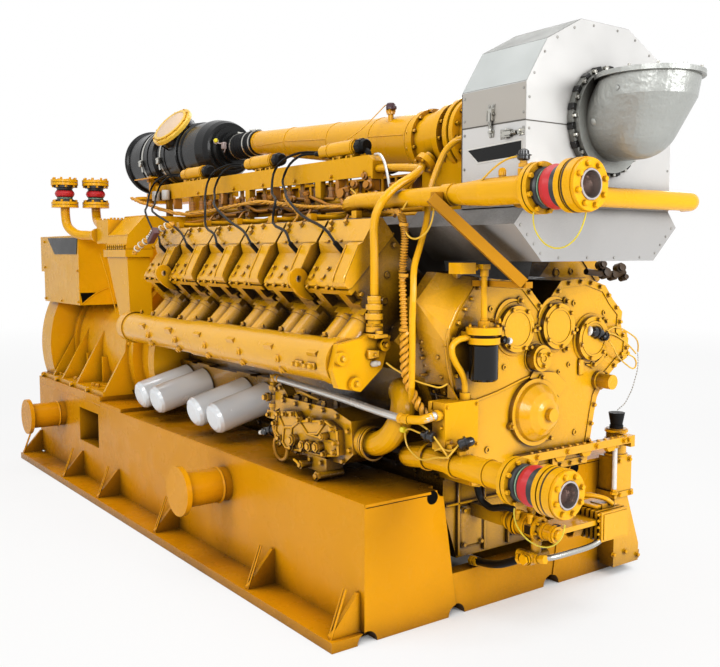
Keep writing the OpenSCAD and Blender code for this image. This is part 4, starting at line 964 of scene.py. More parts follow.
knob_violet = painted("knob_violet", (70, 40, 46), (24, 14, 14), (0.25, 0.4), reach=0.01, amount=0.4,
    deep_shade=(0.2, 0.1))
shape = bmesh.new()
turned(shape, [(0, 0), (0.016, 0), (0.022, 0.006), (0.022, 0.026), (0.016, 0.034), (0, 0.036)],
    (1.25, -0.07, 2.086), (0, 0, 1), 20)
block(shape, (1.268, -0.078, 2.088), (1.286, -0.062, 2.104), 0.003)
finished("intake_sensor", shape, knob_violet)
shape = bmesh.new()
turned(shape, [(0.019, 0), (0.019, 0.012), (0.015, 0.016)], (1.25, -0.07, 2.07), (0, 0, 1), 6)
tube(shape, [(1.236, -0.074, 2.108), (1.222, -0.08, 2.112), (1.212, -0.12, 2.072), (1.216, -0.2, 2.004),
    (1.232, -0.29, 1.948), (1.244, -0.334, 1.926), (1.25, -0.346, 1.906)], 0.0024, 6)
finished("sensor_wire", shape, yellow_pipe)

shape = bmesh.new()
gas_aim = Vector((-0.15, -0.72, -0.68)).normalized()
gas_port = Vector((1.588, -0.118, 1.846))
turned(shape, [(0.03, 0), (0.03, 0.022), (0.046, 0.022), (0.046, 0.034), (0.046, 0.037), (0.046, 0.049),
    (0.026, 0.049)], gas_port, gas_aim, 28)
tube(shape, [gas_port + gas_aim * 0.045, gas_port + gas_aim * 0.085, (1.6, -0.232, 1.752),
    (1.602, -0.282, 1.712), (1.598, -0.322, 1.69), (1.595, -0.33, 1.674)], 0.019, 14)
finished("gas_feed_pipe", shape, yellow_pipe)
bolted("gas_feed_bolts", circle_of(4, 0.037, gas_port + gas_aim * 0.049, gas_aim, 0.7), yellow_pipe,
    0.012, 0.007, 0.008, 0.002)
shape = bmesh.new()
tube(shape, [(1.505, -0.352, 1.8495), (1.54, -0.354, 1.846), (1.58, -0.362, 1.815), (1.61, -0.372, 1.775),
    (1.635, -0.382, 1.735), (1.65, -0.388, 1.705)], 0.0065, 8)
finished("rail_end_conduit", shape, braid)

# ---------------------------------------------------------------- cylinder heads and covers
# Each cylinder has its own head and cast cover, held by cap screws round the
# foot and two through the crown. Core plugs close the end of each row.
bank_rise = 0.806
seat = 0.848


def in_bank(x, across, out, side=-1):
    """A place in the bank's own frame: along the crankshaft, across the bank, out along the cylinders."""
    slope = math.sqrt(0.5)
    return Vector((x, -side * (across - out) * slope, bank_rise + (across + out) * slope))


def way(across, out, side=-1):
    """A direction in the bank's own frame."""
    slope = math.sqrt(0.5)
    return Vector((0, -side * (across - out) * slope, (across + out) * slope))


cylinders = [0.052 + 0.322 * k for k in range(6)]
rib_line = [(0.004, 0.0905), (-0.118, 0.0515), (-0.14, 0.038)]
screws, small_screws = [], []
shape = bmesh.new()
for side in (-1, 1):
    for x in cylinders:
        screws += [(in_bank(x + dx, across, seat + out, side), way(0, 1, side))
            for dx, across, out in ((-0.105, 0.085, 0.0985), (-0.02, 0.112, 0.104), (-0.12, 0.112, 0.104))]
        small_screws += [(in_bank(x + dx, -0.07, seat + 0.0325, side), way(-0.2, 1, side))
            for dx in (-0.118, -0.028)]
        small_screws += [(in_bank(x + dx, -0.1405, seat + 0.008, side), way(-1, 0, side))
            for dx in (-0.13, -0.065, 0.01, 0.05)]
        turned(shape, [(0, 0), (0.0215, 0), (0.0215, 0.007), (0.0165, 0.012), (0.0125, 0.012),
            (0.0125, 0.0)], in_bank(x + 0.05, -0.017, seat + 0.0515, side), way(0, 1, side), 24)
        slab(shape, [(0.066, -0.004), (0.068, -0.004), (0.068, 0.004), (0.066, 0.004)], 0.001,
            lambda u, v, w: in_bank(x + u, v, seat + w, side))
        for dx in (0.072, 0.146):
            tube(shape, [in_bank(x + dx, across, seat + out, side) for across, out in rib_line], 0.0042, 8, 2)
        tube(shape, [in_bank(x - 0.15, 0.15, seat + 0.004, side),
            in_bank(x + 0.15, 0.15, seat + 0.004, side)], 0.005, 8, 1)
        for dx in (-0.085, 0.0):
            middle, half = in_bank(x + dx, 0.03, seat + 0.087, side), Vector((0.014, 0.011, 0.006))
            block(shape, middle - half, middle + half, 0.003)
finished("cover_ribs", shape, yellow_casting)
head_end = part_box("cylinder_heads")[1][0] + 0.0002
shape = bmesh.new()
for side in (-1, 1):
    for across, out, radius in ((0.085, 0.69, 0.02), (-0.06, 0.7, 0.016), (0.02, 0.76, 0.013),
            (0.02, 0.64, 0.013)):
        spot = in_bank(head_end, across, out, side)
        turned(shape, [(0, 0), (radius, 0), (radius, 0.005), (radius * 0.8, 0.008),
            (radius * 0.72, 0.004), (0, 0.003)], spot, (1, 0, 0), 24)
    screws += [(in_bank(head_end, across, out, side), Vector((1, 0, 0)))
        for across, out in ((0.11, 0.59), (-0.11, 0.6), (0.12, 0.82), (-0.12, 0.8))]
finished("head_core_plugs", shape, yellow_casting)
bolted("cover_screws", screws, yellow_casting, 0.017, 0.012, 0.0125, 0.002)
bolted("cover_foot_screws", small_screws, yellow_casting, 0.013, 0.009, 0.01, 0.002)

# ---------------------------------------------------------------- intake manifolds
# Each manifold log is a casting with pads for sensors, a bolted end plate and
# clamp rings where the ducts to the heads join it.
manifold_bolts = []
shape = bmesh.new()
for side in (-1, 1):
    manifold_bolts += [((1.9002, -side * y, z), (1, 0, 0)) for y, z in ((-0.795, 1.06), (-0.735, 0.965),
        (-0.602, 1.1))]
    for x in (0.22, 0.54, 0.86, 1.18, 1.5):
        for angle in (-0.15, -0.75):
            spot = Vector((x, side * (0.745 + 0.083 * math.cos(angle)), 1.04 + 0.083 * math.sin(angle)))
            out = Vector((0, side * math.cos(angle), math.sin(angle)))
            turned(shape, [(0, -0.006), (0.016, -0.006), (0.016, 0.008), (0.01, 0.011), (0.01, 0.016),
                (0, 0.017)], spot, out, 16)
    for x in (1.66, 1.745):
        block(shape, (x - 0.03, side * 0.825, 1.01), (x + 0.03, side * 0.842, 1.036), 0.004)
        manifold_bolts.append(((x - 0.017, side * 0.842, 1.023), (0, side, 0)))
        manifold_bolts.append(((x + 0.017, side * 0.842, 1.023), (0, side, 0)))
    for x in (0.02, 0.35, 0.67, 0.99, 1.31, 1.63):
        for dx in (-0.075, 0.075):
            manifold_bolts.append(((x + dx, side * 0.742, 1.123 + (0.005 if x > 0.6 else 0.0)),
                (0, side * 0.15, 1)))
finished("manifold_pads", shape, yellow_casting)
bolted("manifold_bolts", manifold_bolts, yellow_casting, 0.016, 0.011, 0.012, 0.002)

# ---------------------------------------------------------------- vee pipework
# Small gas and air lines, unions and hangers crowd the space between the coil
# rail and the heads. They are steel tube with brass nuts, all painted over.
dull_ochre = painted("dull_ochre", (196, 128, 22), (54, 30, 8), (0.26, 0.42), (200.0, 26.0, 0.5),
    (0.2, 0.001), reach=0.05, amount=0.9, deep_shade=(0.3, 0.9))
shape, nuts = bmesh.new(), bmesh.new()
for side in (-1, 1):
    y = side * 0.33
    for k in range(14):
        x = -0.27 + 0.118 * k
        turned(nuts, [(0.019, 0), (0.019, 0.018), (0.015, 0.018), (0.015, 0.04), (0.018, 0.04),
            (0.018, 0.052)], (x, y, 1.684), (0, 0, 1), 6)
    for k, x in enumerate(cylinders):
        z = 1.64 + 0.01 * (k % 2)
        tube(shape, [(x - 0.02, side * 0.352, 1.7), (x + 0.01, side * 0.372, 1.702),
            (x + 0.06, side * 0.384, 1.69), (x + 0.14, side * 0.392, z + 0.02),
            (x + 0.21, side * 0.39, z), (x + 0.3, side * 0.38, z)], 0.0075, 8)
        turned(nuts, [(0, 0), (0.02, 0), (0.02, 0.022), (0.013, 0.026), (0.013, 0.04), (0.017, 0.04),
            (0.017, 0.056), (0, 0.058)], (x + 0.012, side * 0.372, 1.668), (0, side * 0.35, 1), 6)
        block(nuts, (x + 0.085, side * 0.335, 1.624), (x + 0.118, side * 0.392, 1.652), 0.004)
        tube(shape, [(x + 0.1, side * 0.372, 1.644), (x + 0.104, side * 0.398, 1.65),
            (x + 0.11, side * 0.42, 1.64), (x + 0.118, side * 0.446, 1.612),
            (x + 0.122, side * 0.47, 1.58)], 0.006, 8)
    for x0, x1, z, off in ((0.42, 1.2, 1.69, 0.345), (0.1, 0.98, 1.652, 0.352),
            (0.78, 1.56, 1.628, 0.366), (-0.3, 0.4, 1.622, 0.36)):
        tube(shape, [(x0, side * off, z), (x0 + 0.1, side * (off + 0.012), z - 0.006),
            ((x0 + x1) / 2, side * (off + 0.01), z + 0.004), (x1 - 0.1, side * (off + 0.012), z - 0.004),
            (x1, side * off, z - 0.01)], 0.0085, 8)
    for x in (-0.42, 0.18, 0.7, 1.26, 1.5):
        block(nuts, (x - 0.012, side * 0.33, 1.7), (x + 0.012, side * 0.378, 1.762), 0.003)
    for x, z, size in ((1.33, 1.69, 0.03), (1.44, 1.668, 0.024), (1.5, 1.72, 0.022), (1.4, 1.73, 0.018),
            (1.55, 1.668, 0.026), (1.47, 1.76, 0.016), (0.52, 1.7, 0.02), (0.9, 1.69, 0.018)):
        turned(nuts, [(0, 0), (size, 0), (size, size * 0.8), (size * 0.7, size), (size * 0.7, size * 1.5),
            (0, size * 1.6)], (x, side * 0.372, z), (0.2, side, 0.15), 8 if size < 0.022 else 20)
    tube(shape, [(1.33, side * 0.398, 1.705), (1.345, side * 0.408, 1.668), (1.372, side * 0.416, 1.65),
        (1.44, side * 0.42, 1.64)], 0.009, 10)
finished("vee_small_pipes", shape, dull_ochre)
finished("vee_unions", nuts, dull_ochre)
shape = bmesh.new()
for side in (-1, 1):
    for x in (-0.618, -0.478):
        turned(shape, [(0, 0), (0.021, 0), (0.0235, 0.004), (0.0235, 0.05), (0.02, 0.056), (0, 0.058)],
            (x, side * 0.403, 1.756), (0, 0, 1), 24)
relay_grey = painted("relay_grey", (206, 206, 204), (120, 110, 96), (0.3, 0.44), (200.0, 20.0, 0.4),
    reach=0.02, amount=0.5, deep_shade=(0.2, 0.2))
finished("rail_end_relays", shape, relay_grey)

# ---------------------------------------------------------------- wiring looms
# Sensor wires run in twisted looms along the vee, and down the engine's
# corner inside ribbed conduit. All of it was sprayed with the engine.
loom_yellow = painted("loom_yellow", (236, 168, 34), (84, 46, 8), (0.3, 0.46), (260.0, 60.0, 0.5),
    (0.2, 0.001), reach=0.02, amount=0.9, deep_shade=(0.3, 0.6))


def twisted(shape, route, radius, strands=2, pitch=0.03, steps=10):
    """Strands twisted round a smooth route, with one full twist in each pitch."""
    line = through(route, steps)
    up, turn, last = None, 0.0, line[0]
    runs = [[] for _ in range(strands)]
    for k, point in enumerate(line):
        ahead = (line[min(k + 1, len(line) - 1)] - line[max(k - 1, 0)]).normalized()
        up = ahead.orthogonal() if up is None else up - ahead * up.dot(ahead)
        up.normalize()
        side = ahead.cross(up)
        turn += (point - last).length / pitch * 2 * math.pi
        last = point
        for n, run in enumerate(runs):
            angle = turn + 2 * math.pi * n / strands
            run.append(point + radius * (math.cos(angle) * up + math.sin(angle) * side))
    for run in runs:
        tube(shape, run, radius, 6, 1)


shape = bmesh.new()
vee_route = [(-1.07, -0.375, 1.795), (-0.9, -0.395, 1.765), (-0.76, -0.4, 1.742), (-0.52, -0.412, 1.7),
    (-0.2, -0.418, 1.662), (0.15, -0.424, 1.668), (0.594, -0.42, 1.69), (0.85, -0.424, 1.672),
    (1.082, -0.426, 1.648), (1.27, -0.426, 1.64), (1.45, -0.436, 1.63), (1.601, -0.47, 1.612),
    (1.76, -0.505, 1.602), (1.89, -0.545, 1.597), (1.941, -0.562, 1.58)]
for side in (-1, 1):
    twisted(shape, [(x, -side * y, z) for x, y, z in vee_route], 0.006, 3, 0.034, 9)
    twisted(shape, [(x, side * y, z) for x, y, z in ((0.896, 0.424, 1.716), (0.93, 0.44, 1.69),
        (0.975, 0.45, 1.664), (1.03, 0.455, 1.64), (1.075, 0.462, 1.612), (1.12, 0.5, 1.59),
        (1.145, 0.54, 1.56))], 0.004, 2, 0.02, 8)
twisted(shape, [(1.968, -0.566, 1.15), (1.969, -0.568, 1.08), (1.972, -0.566, 1.015),
    (1.985, -0.56, 0.96), (2.01, -0.552, 0.915), (2.036, -0.54, 0.87), (2.052, -0.51, 0.842),
    (2.07, -0.48, 0.832)], 0.0095, 2, 0.052, 9)
finished("wiring_looms", shape, loom_yellow)
shape = bmesh.new()
conduit = [(1.941, -0.562, 1.58), (1.958, -0.564, 1.548), (1.966, -0.564, 1.5), (1.96, -0.564, 1.43),
    (1.952, -0.564, 1.358), (1.958, -0.564, 1.25), (1.967, -0.566, 1.15)]
tube(shape, conduit, lambda t: 0.0125 + 0.0022 * (1 if int(t * 84) % 2 else -1), 12, 28)
for z in (1.545, 1.36, 1.16):
    band(shape, 0.014, 0.0175, -0.006, 0.006, (1.96, -0.564, z), (0.1, 0, 1), 16)
finished("corner_conduit", shape, loom_yellow)

shape, white_ties = bmesh.new(), bmesh.new()
for side in (-1, 1):
    run = [(-0.075, side * 0.77, 1.44), (-0.03, side * 0.765, 1.474), (0.02, side * 0.748, 1.502),
        (0.062, side * 0.728, 1.53), (0.105, side * 0.712, 1.556), (0.15, side * 0.69, 1.58),
        (0.186, side * 0.66, 1.592)]
    twisted(shape, run, 0.0075, 3, 0.05, 8)
    line = through(run, 8)
    for k in range(6, len(line) - 4, 5):
        band(white_ties, 0.015, 0.0185, -0.0035, 0.0035, line[k], line[k + 1] - line[k - 1], 14)
finished("head_loom", shape, loom_yellow)
tie_white = painted("tie_white", (244, 242, 228), (160, 150, 120), (0.3, 0.46), (200.0, 20.0, 0.4),
    (0.04, 0.001), reach=0.01, amount=0.3, deep_shade=(0.2, 0.1))
finished("head_loom_ties", white_ties, tie_white)
plug_purple = painted("plug_purple", (96, 56, 60), (30, 16, 18), (0.3, 0.46), (200.0, 20.0, 0.4),
    reach=0.015, amount=0.6, deep_shade=(0.2, 0.2))
shape, pins = bmesh.new(), bmesh.new()
for side in (-1, 1):
    spot = Vector((0.118, side * 0.745, 1.532))
    body = ((-0.048, -0.017, -0.02), (0.048, 0.017, 0.02), 0.004)
    nose = ((-0.06, -0.011, -0.013), (-0.046, 0.011, 0.013), 0.003)
    add_turned(shape, [body, nose], Matrix.Translation(spot) @ Matrix.Rotation(-0.6, 4, "Y"))
    for k in range(5):
        foot = spot + Matrix.Rotation(-0.6, 3, "Y") @ Vector((-0.034 + 0.017 * k, side * 0.0165, 0.006))
        tube(pins, [foot, foot + Vector((0, side * 0.006, 0.0))], 0.0042, 8, 1)
finished("head_loom_plug", shape, plug_purple)
finished("head_loom_plug_pins", pins, tie_white)

# ---------------------------------------------------------------- corner pipe unions
# The breather pipe at the engine's corner passes a stack of bolted flanges
# and ends on the manifold's end plate. A sensor plug sits beside it.
shape, corner_bolts = bmesh.new(), []
for z, radius, high in ((1.266, 0.027, 0.014), (1.232, 0.0325, 0.018), (1.196, 0.0345, 0.02),
        (1.15, 0.0325, 0.016)):
    turned(shape, [(0.0165, 0), (radius, 0), (radius, high), (radius - 0.003, high + 0.003),
        (0.0165, high + 0.003)], (1.874, -0.634, z), (0, 0, 1), 32, closed=True)
block(shape, (1.838, -0.668, 1.128), (1.925, -0.606, 1.144), 0.003)
turned(shape, [(0.015, 0), (0.015, 0.012)], (1.912, -0.64, 1.144), (0, 0, 1), 16)
block(shape, (1.85, -0.676, 1.052), (1.898, -0.626, 1.084), 0.004)
corner_bolts += [((1.874 + dx, -0.634 + dy, 1.217), (0, 0, 1))
    for dx, dy in ((0.024, 0.0), (-0.024, 0.0), (0.0, -0.024), (0.0, 0.024))]
corner_bolts += [((1.915, -0.669, 1.136), (0, -1, 0)), ((1.874, -0.677, 1.066), (0, -1, 0)),
    ((1.8982, -0.65, 1.066), (1, 0, 0))]
finished("corner_pipe_flanges", shape, yellow_casting)
bolted("corner_pipe_bolts", corner_bolts, yellow_casting, 0.009, 0.006, 0.007, 0.0015)
shape = bmesh.new()
turned(shape, [(0, 0), (0.011, 0), (0.011, 0.022), (0.008, 0.026), (0.008, 0.036), (0, 0.037)],
    (1.88, -0.646, 1.03), (1, 0.1, 0.15), 18)
finished("manifold_sensor", shape, relay_grey)

# ---------------------------------------------------------------- gear case flange
# The front gear case is a cast cover with a machined rim. Cap screws go all
# round the rim and round each of the three idler covers and the pump dome.
gear_face = 2.08
gear_outline = [(-0.33, 0.56), (0.33, 0.56), (0.352, 0.682), (0.369, 0.766), (0.386, 0.833),
    (0.429, 0.899), (0.518, 0.965), (0.58, 0.987), (0.587, 1.074), (0.533, 1.117), (0.541, 1.19),
    (0.477, 1.245), (0.425, 1.305), (0.3, 1.34), (0.15, 1.33), (0.05, 1.226), (-0.06, 1.33), (-0.3, 1.35),
    (-0.339, 1.3), (-0.405, 1.224), (-0.442, 1.16), (-0.453, 1.099), (-0.44, 1.02), (-0.42, 0.95),
    (-0.4, 0.9), (-0.37, 0.76), (-0.34, 0.64)]


def set_in(outline, inset):
    """The same outline drawn that far inside itself."""
    moved = []
    for k, corner in enumerate(outline):
        here, before, after = Vector(corner), Vector(outline[k - 1]), Vector(outline[(k + 1) % len(outline)])
        one, two = (here - before).normalized(), (after - here).normalized()
        first, second = Vector((-one.y, one.x)), Vector((-two.y, two.x))
        middle = (first + second).normalized()
        moved.append(here + middle * (inset / max(middle.dot(first), 0.5)))
    return moved


def rim(shape, outline, outer, inner, high, at):
    """A raised rim between two insets of an outline."""
    loops = [[at(p.x, p.y, h) for p in set_in(outline, d)] for d, h in ((outer, 0.0), (outer, high),
        (inner, high), (inner, 0.0))]
    rows = [[shape.verts.new(p) for p in loop] for loop in loops]
    for a in range(4):
        for k in range(len(outline)):
            n = (k + 1) % len(outline)
            b = (a + 1) % 4
            shape.faces.new((rows[a][k], rows[a][n], rows[b][n], rows[b][k]))


def along(outline, gap, inset):
    """Places about a gap apart along an outline drawn that far inside itself."""
    spots, line = [], set_in(outline, inset)
    for one, two in zip(line, line[1:] + line[:1]):
        count = max(1, round((two - one).length / gap))
        spots += [one.lerp(two, (k + 0.5) / count) for k in range(count)]
    return spots


def on_gear_face(u, v, w):
    return Vector((gear_face + w, u, v))


shape, gear_screws = bmesh.new(), []
rim(shape, gear_outline, 0.001, 0.03, 0.0045, on_gear_face)
for y, z in ((-0.113, 1.148), (0.122, 1.148), (0.335, 1.086)):
    start = math.atan2(z - 1.1, y) + 0.3
    band(shape, 0.066, 0.074, 0, 0.003, (2.1038, y, z), (1, 0, 0), 48)
    turned(shape, [(0.091, 0), (0.107, 0), (0.104, 0.006), (0.091, 0.006)], (gear_face - 0.0002, y, z),
        (1, 0, 0), 56, closed=True)
    gear_screws += circle_of(6, 0.082, (2.104, y, z), (1, 0, 0), start)
    for ear, _ in circle_of(3, 0.112, (gear_face, y, z), (1, 0, 0), start + 0.4):
        turned(shape, [(0.017, 0), (0.015, 0.01)], ear, (1, 0, 0), 18)
        gear_screws.append((ear + Vector((0.01, 0, 0)), (1, 0, 0)))
gear_screws += [((gear_face + 0.0045, spot.x, spot.y), (1, 0, 0))
    for spot in along(gear_outline, 0.066, 0.015)]
for angle in (1.35, 3.45, 5.35):
    ear = [(0.128, -0.16), (0.152, -0.05), (0.152, 0.05), (0.128, 0.16)]
    slab(shape, [(r * math.cos(angle + a), 0.812 + r * math.sin(angle + a)) for r, a in ear], 0.018,
        on_gear_face)
    gear_screws.append(((gear_face + 0.018, 0.141 * math.cos(angle), 0.812 + 0.141 * math.sin(angle)),
        (1, 0, 0)))
gear_screws += circle_of(3, 0.03, (2.128, 0.008, 1.028), (1, 0, 0), 0.5)
band(shape, 0.012, 0.018, 0, 0.004, (2.1278, 0.008, 1.028), (1, 0, 0), 24)
band(shape, 0.056, 0.062, 0, 0.004, (gear_face, 0.008, 1.028), (1, 0, 0), 40)
oil_way = [(-0.36, 0.878), (-0.2, 0.908), (-0.06, 0.946), (0.02, 0.962)]
tube(shape, [on_gear_face(y, z, 0.002) for y, z in oil_way], 0.0055, 8, 4)
block(shape, (gear_face, 0.262, 0.938), (gear_face + 0.013, 0.29, 1.004), 0.004)
for y, z, radius in ((0.205, 0.985, 0.01), (0.145, 0.96, 0.008), (-0.165, 1.002, 0.01),
        (-0.24, 1.23, 0.011), (0.23, 1.236, 0.011), (0.42, 1.19, 0.01), (0.44, 1.01, 0.01),
        (0.25, 0.7, 0.012), (-0.25, 0.69, 0.012), (0.18, 0.9, 0.008)):
    turned(shape, [(radius, 0), (radius, 0.006), (radius * 0.6, 0.006), (radius * 0.55, 0.002)],
        (gear_face, y, z), (1, 0, 0), 18)
crescent = [(0.098 + 0.012 * math.sin(math.pi * k / 10), 0.5 + 1.5 * k / 10) for k in range(11)]
for y, z, turn in ((-0.113, 1.148, 0.9), (0.122, 1.148, 0.8), (0.335, 1.086, -2.3)):
    outer = [(y + (r + 0.014) * math.cos(a + turn), z + (r + 0.014) * math.sin(a + turn))
        for r, a in crescent]
    inner = [(y + 0.108 * math.cos(a + turn), z + 0.108 * math.sin(a + turn)) for r, a in reversed(crescent)]
    slab(shape, outer + inner, 0.0085, on_gear_face)
finished("gear_case_rim", shape, yellow_casting)
bolted("gear_case_screws", gear_screws, yellow_casting, 0.014, 0.011, 0.0105, 0.002)

# ---------------------------------------------------------------- near gear housing
# The near side of the case bulges round a gear train. Stiffening ribs, side
# bolts and a rocker-shaft box show there, and a lifting box sits on the top.
shape, side_screws = bmesh.new(), []
for (y, z), (yy, zz) in zip(gear_outline[18:25], gear_outline[19:26]):
    out = Vector((0, z - zz, yy - y)).normalized()
    if out.y > 0:
        out = -out
    for x in (1.975, 2.035):
        foot = Vector((x, (y + yy) / 2, (z + zz) / 2)) + out * 0.0005
        turned(shape, [(0.013, -0.004), (0.013, 0.007)], foot, out, 16)
        side_screws.append((foot + out * 0.007, out))
    for x in (1.962, 2.07):
        tube(shape, [Vector((x, y, z)) + out * 0.001, Vector((x, yy, zz)) + out * 0.001], 0.0065, 8, 1)
    tube(shape, [Vector((1.962, yy, zz)) + out * 0.001, Vector((2.072, yy, zz)) + out * 0.001], 0.006, 8, 1)
side_screws += [((1.9602, y, z), (1, 0, 0)) for y, z in ((-0.455, 1.245), (-0.492, 1.214), (-0.47, 1.15),
    (-0.478, 1.08), (-0.462, 1.02))]
for z in (1.225, 1.175, 1.11, 1.05, 0.985):
    block(shape, (1.9602, -0.492, z - 0.006), (1.978, -0.44, z + 0.006), 0.003)
block(shape, (1.985, -0.366, 1.345), (2.03, -0.29, 1.384), 0.004)
finished("gear_housing_ribs", shape, yellow_casting)
bolted("gear_housing_screws", side_screws, yellow_casting, 0.014, 0.01, 0.01, 0.002)
shape = bmesh.new()
for y, z, size in ((0.585, 1.352, 0.026), (0.64, 1.34, 0.022), (0.688, 1.372, 0.024), (0.56, 1.388, 0.02),
        (0.716, 1.33, 0.016)):
    turned(shape, [(0, -0.02), (size, -0.02), (size, 0.012), (size * 0.7, 0.016), (size * 0.7, 0.026),
        (0, 0.028)], (1.95, y, z), (1, -0.3, 0.2), 10)
tube(shape, [(1.95, 0.46, 1.36), (1.95, 0.54, 1.352), (1.95, 0.64, 1.345), (1.95, 0.72, 1.352)], 0.014, 10, 5)
# The far support fittings are painted near-black brown: painted shade under the heat housing.
joint_and_shade_casting = painted("joint_and_shade_casting", (66, 46, 22), (20, 14, 8), (0.4, 0.6), (110.0, 34.0, 0.7),
    (0.4, 0.004), shine=0.3)
finished("far_support_fittings", shape, joint_and_shade_casting)

# ---------------------------------------------------------------- breather and bracket box fittings
# The black breather canister hangs from a bolted head. A small two-pin plug
# sits beside it, and the plate box below carries the pipe elbow.
shape = bmesh.new()
small = circle_of(6, 0.057, (2.16, -0.349, 1.1722), (0, 0, 1), 0.3)
turned(shape, [(0.022, 0), (0.022, 0.016), (0.014, 0.016), (0.014, 0.032)], (2.16, -0.349, 1.172),
    (0, 0, 1), 20)
tube(shape, [(2.11, -0.3, 1.184), (2.14, -0.306, 1.192), (2.168, -0.3, 1.19), (2.196, -0.29, 1.184)],
    0.006, 8, 4)
for x in (2.116, 2.135, 2.154, 2.173, 2.192):
    turned(shape, [(0.0055, 0), (0.0055, 0.016)], (x, -0.302, 1.186), (0, 0, 1), 10)
for _ in range(2):  # the same disc twice over
    turned(shape, [(0.02, 0), (0.02, 0.014)], (2.115, -0.395, 0.904), (0, 0, 1), 20)
block(shape, (2.062, -0.532, 0.862), (2.082, -0.452, 0.905), 0.003)
small += [((2.1502, y, z), (1, 0, 0)) for y, z in ((-0.515, 0.742), (-0.515, 0.89), (-0.373, 0.742),
    (-0.373, 0.89))]
slab(shape, [(2.055, 0.905), (2.11, 0.905), (2.055, 0.965)], 0.006, lambda u, v, w: Vector((u, -0.43 + w, v)))
small += [((2.085, -0.5252, 0.87), (0, -1, 0)), ((2.085, -0.5252, 0.76), (0, -1, 0)),
    ((2.135, -0.5252, 0.815), (0, -1, 0))]
finished("breather_fittings", shape, yellow_pipe)
bolted("breather_screws", small, yellow_pipe, 0.009, 0.007, 0.007, 0.0015)
plug_black = painted("plug_black", (26, 26, 28), (8, 8, 8), (0.16, 0.3), (220.0, 30.0, 0.4),
    (0.1, 0.0005), reach=0.02, amount=0.6, coat=0.2, deep_shade=(0.2, 0.3))
tip_white = painted("tip_white", (240, 240, 236), (150, 146, 132), (0.2, 0.34), (200.0, 20.0, 0.3),
    (0.06, 0.0005), reach=0.02, amount=0.4, deep_shade=(0.2, 0.15))


def plug(shape, place, aim, long, radius):
    """A moulded wire plug: a rounded body, a collar and the boot where the wire comes out."""
    turned(shape, [(radius * 0.75, 0), (radius, radius * 0.25), (radius, long * 0.4),
        (radius * 1.22, long * 0.42), (radius * 1.22, long * 0.52), (radius * 0.86, long * 0.55),
        (radius * 0.78, long * 0.86), (radius * 0.45, long)], place, aim, 20)


shape, white = bmesh.new(), bmesh.new()
plug(shape, (2.16, -0.258, 1.119), (0.1, 1, -0.15), 0.03, 0.014)
turned(white, [(0.0125, 0), (0.0125, 0.01), (0.01, 0.014)], (2.163, -0.227, 1.115), (0.1, 1, -0.15), 18)
plug(shape, (2.104, 0.318, 1.117), (0.22, 1, -0.2), 0.062, 0.022)
plug(shape, (2.12, 0.372, 1.102), (0.1, 1, -0.75), 0.03, 0.018)
turned(white, [(0.02, 0), (0.02, 0.007), (0.015, 0.011)], (2.102, 0.309, 1.119), (-0.22, -1, 0.2), 20)
plug(shape, (2.508, -0.52, 1.733), (0.05, 0, 1), 0.036, 0.0205)
plug(shape, (2.206, -0.512, 0.762), (0.45, 0.8, 0.28), 0.06, 0.021)
plug(shape, (2.125, -0.555, 0.782), (-1, -0.1, 0.08), 0.062, 0.019)
finished("sensor_plugs", shape, plug_black)
finished("sensor_plug_caps", white, tip_white)

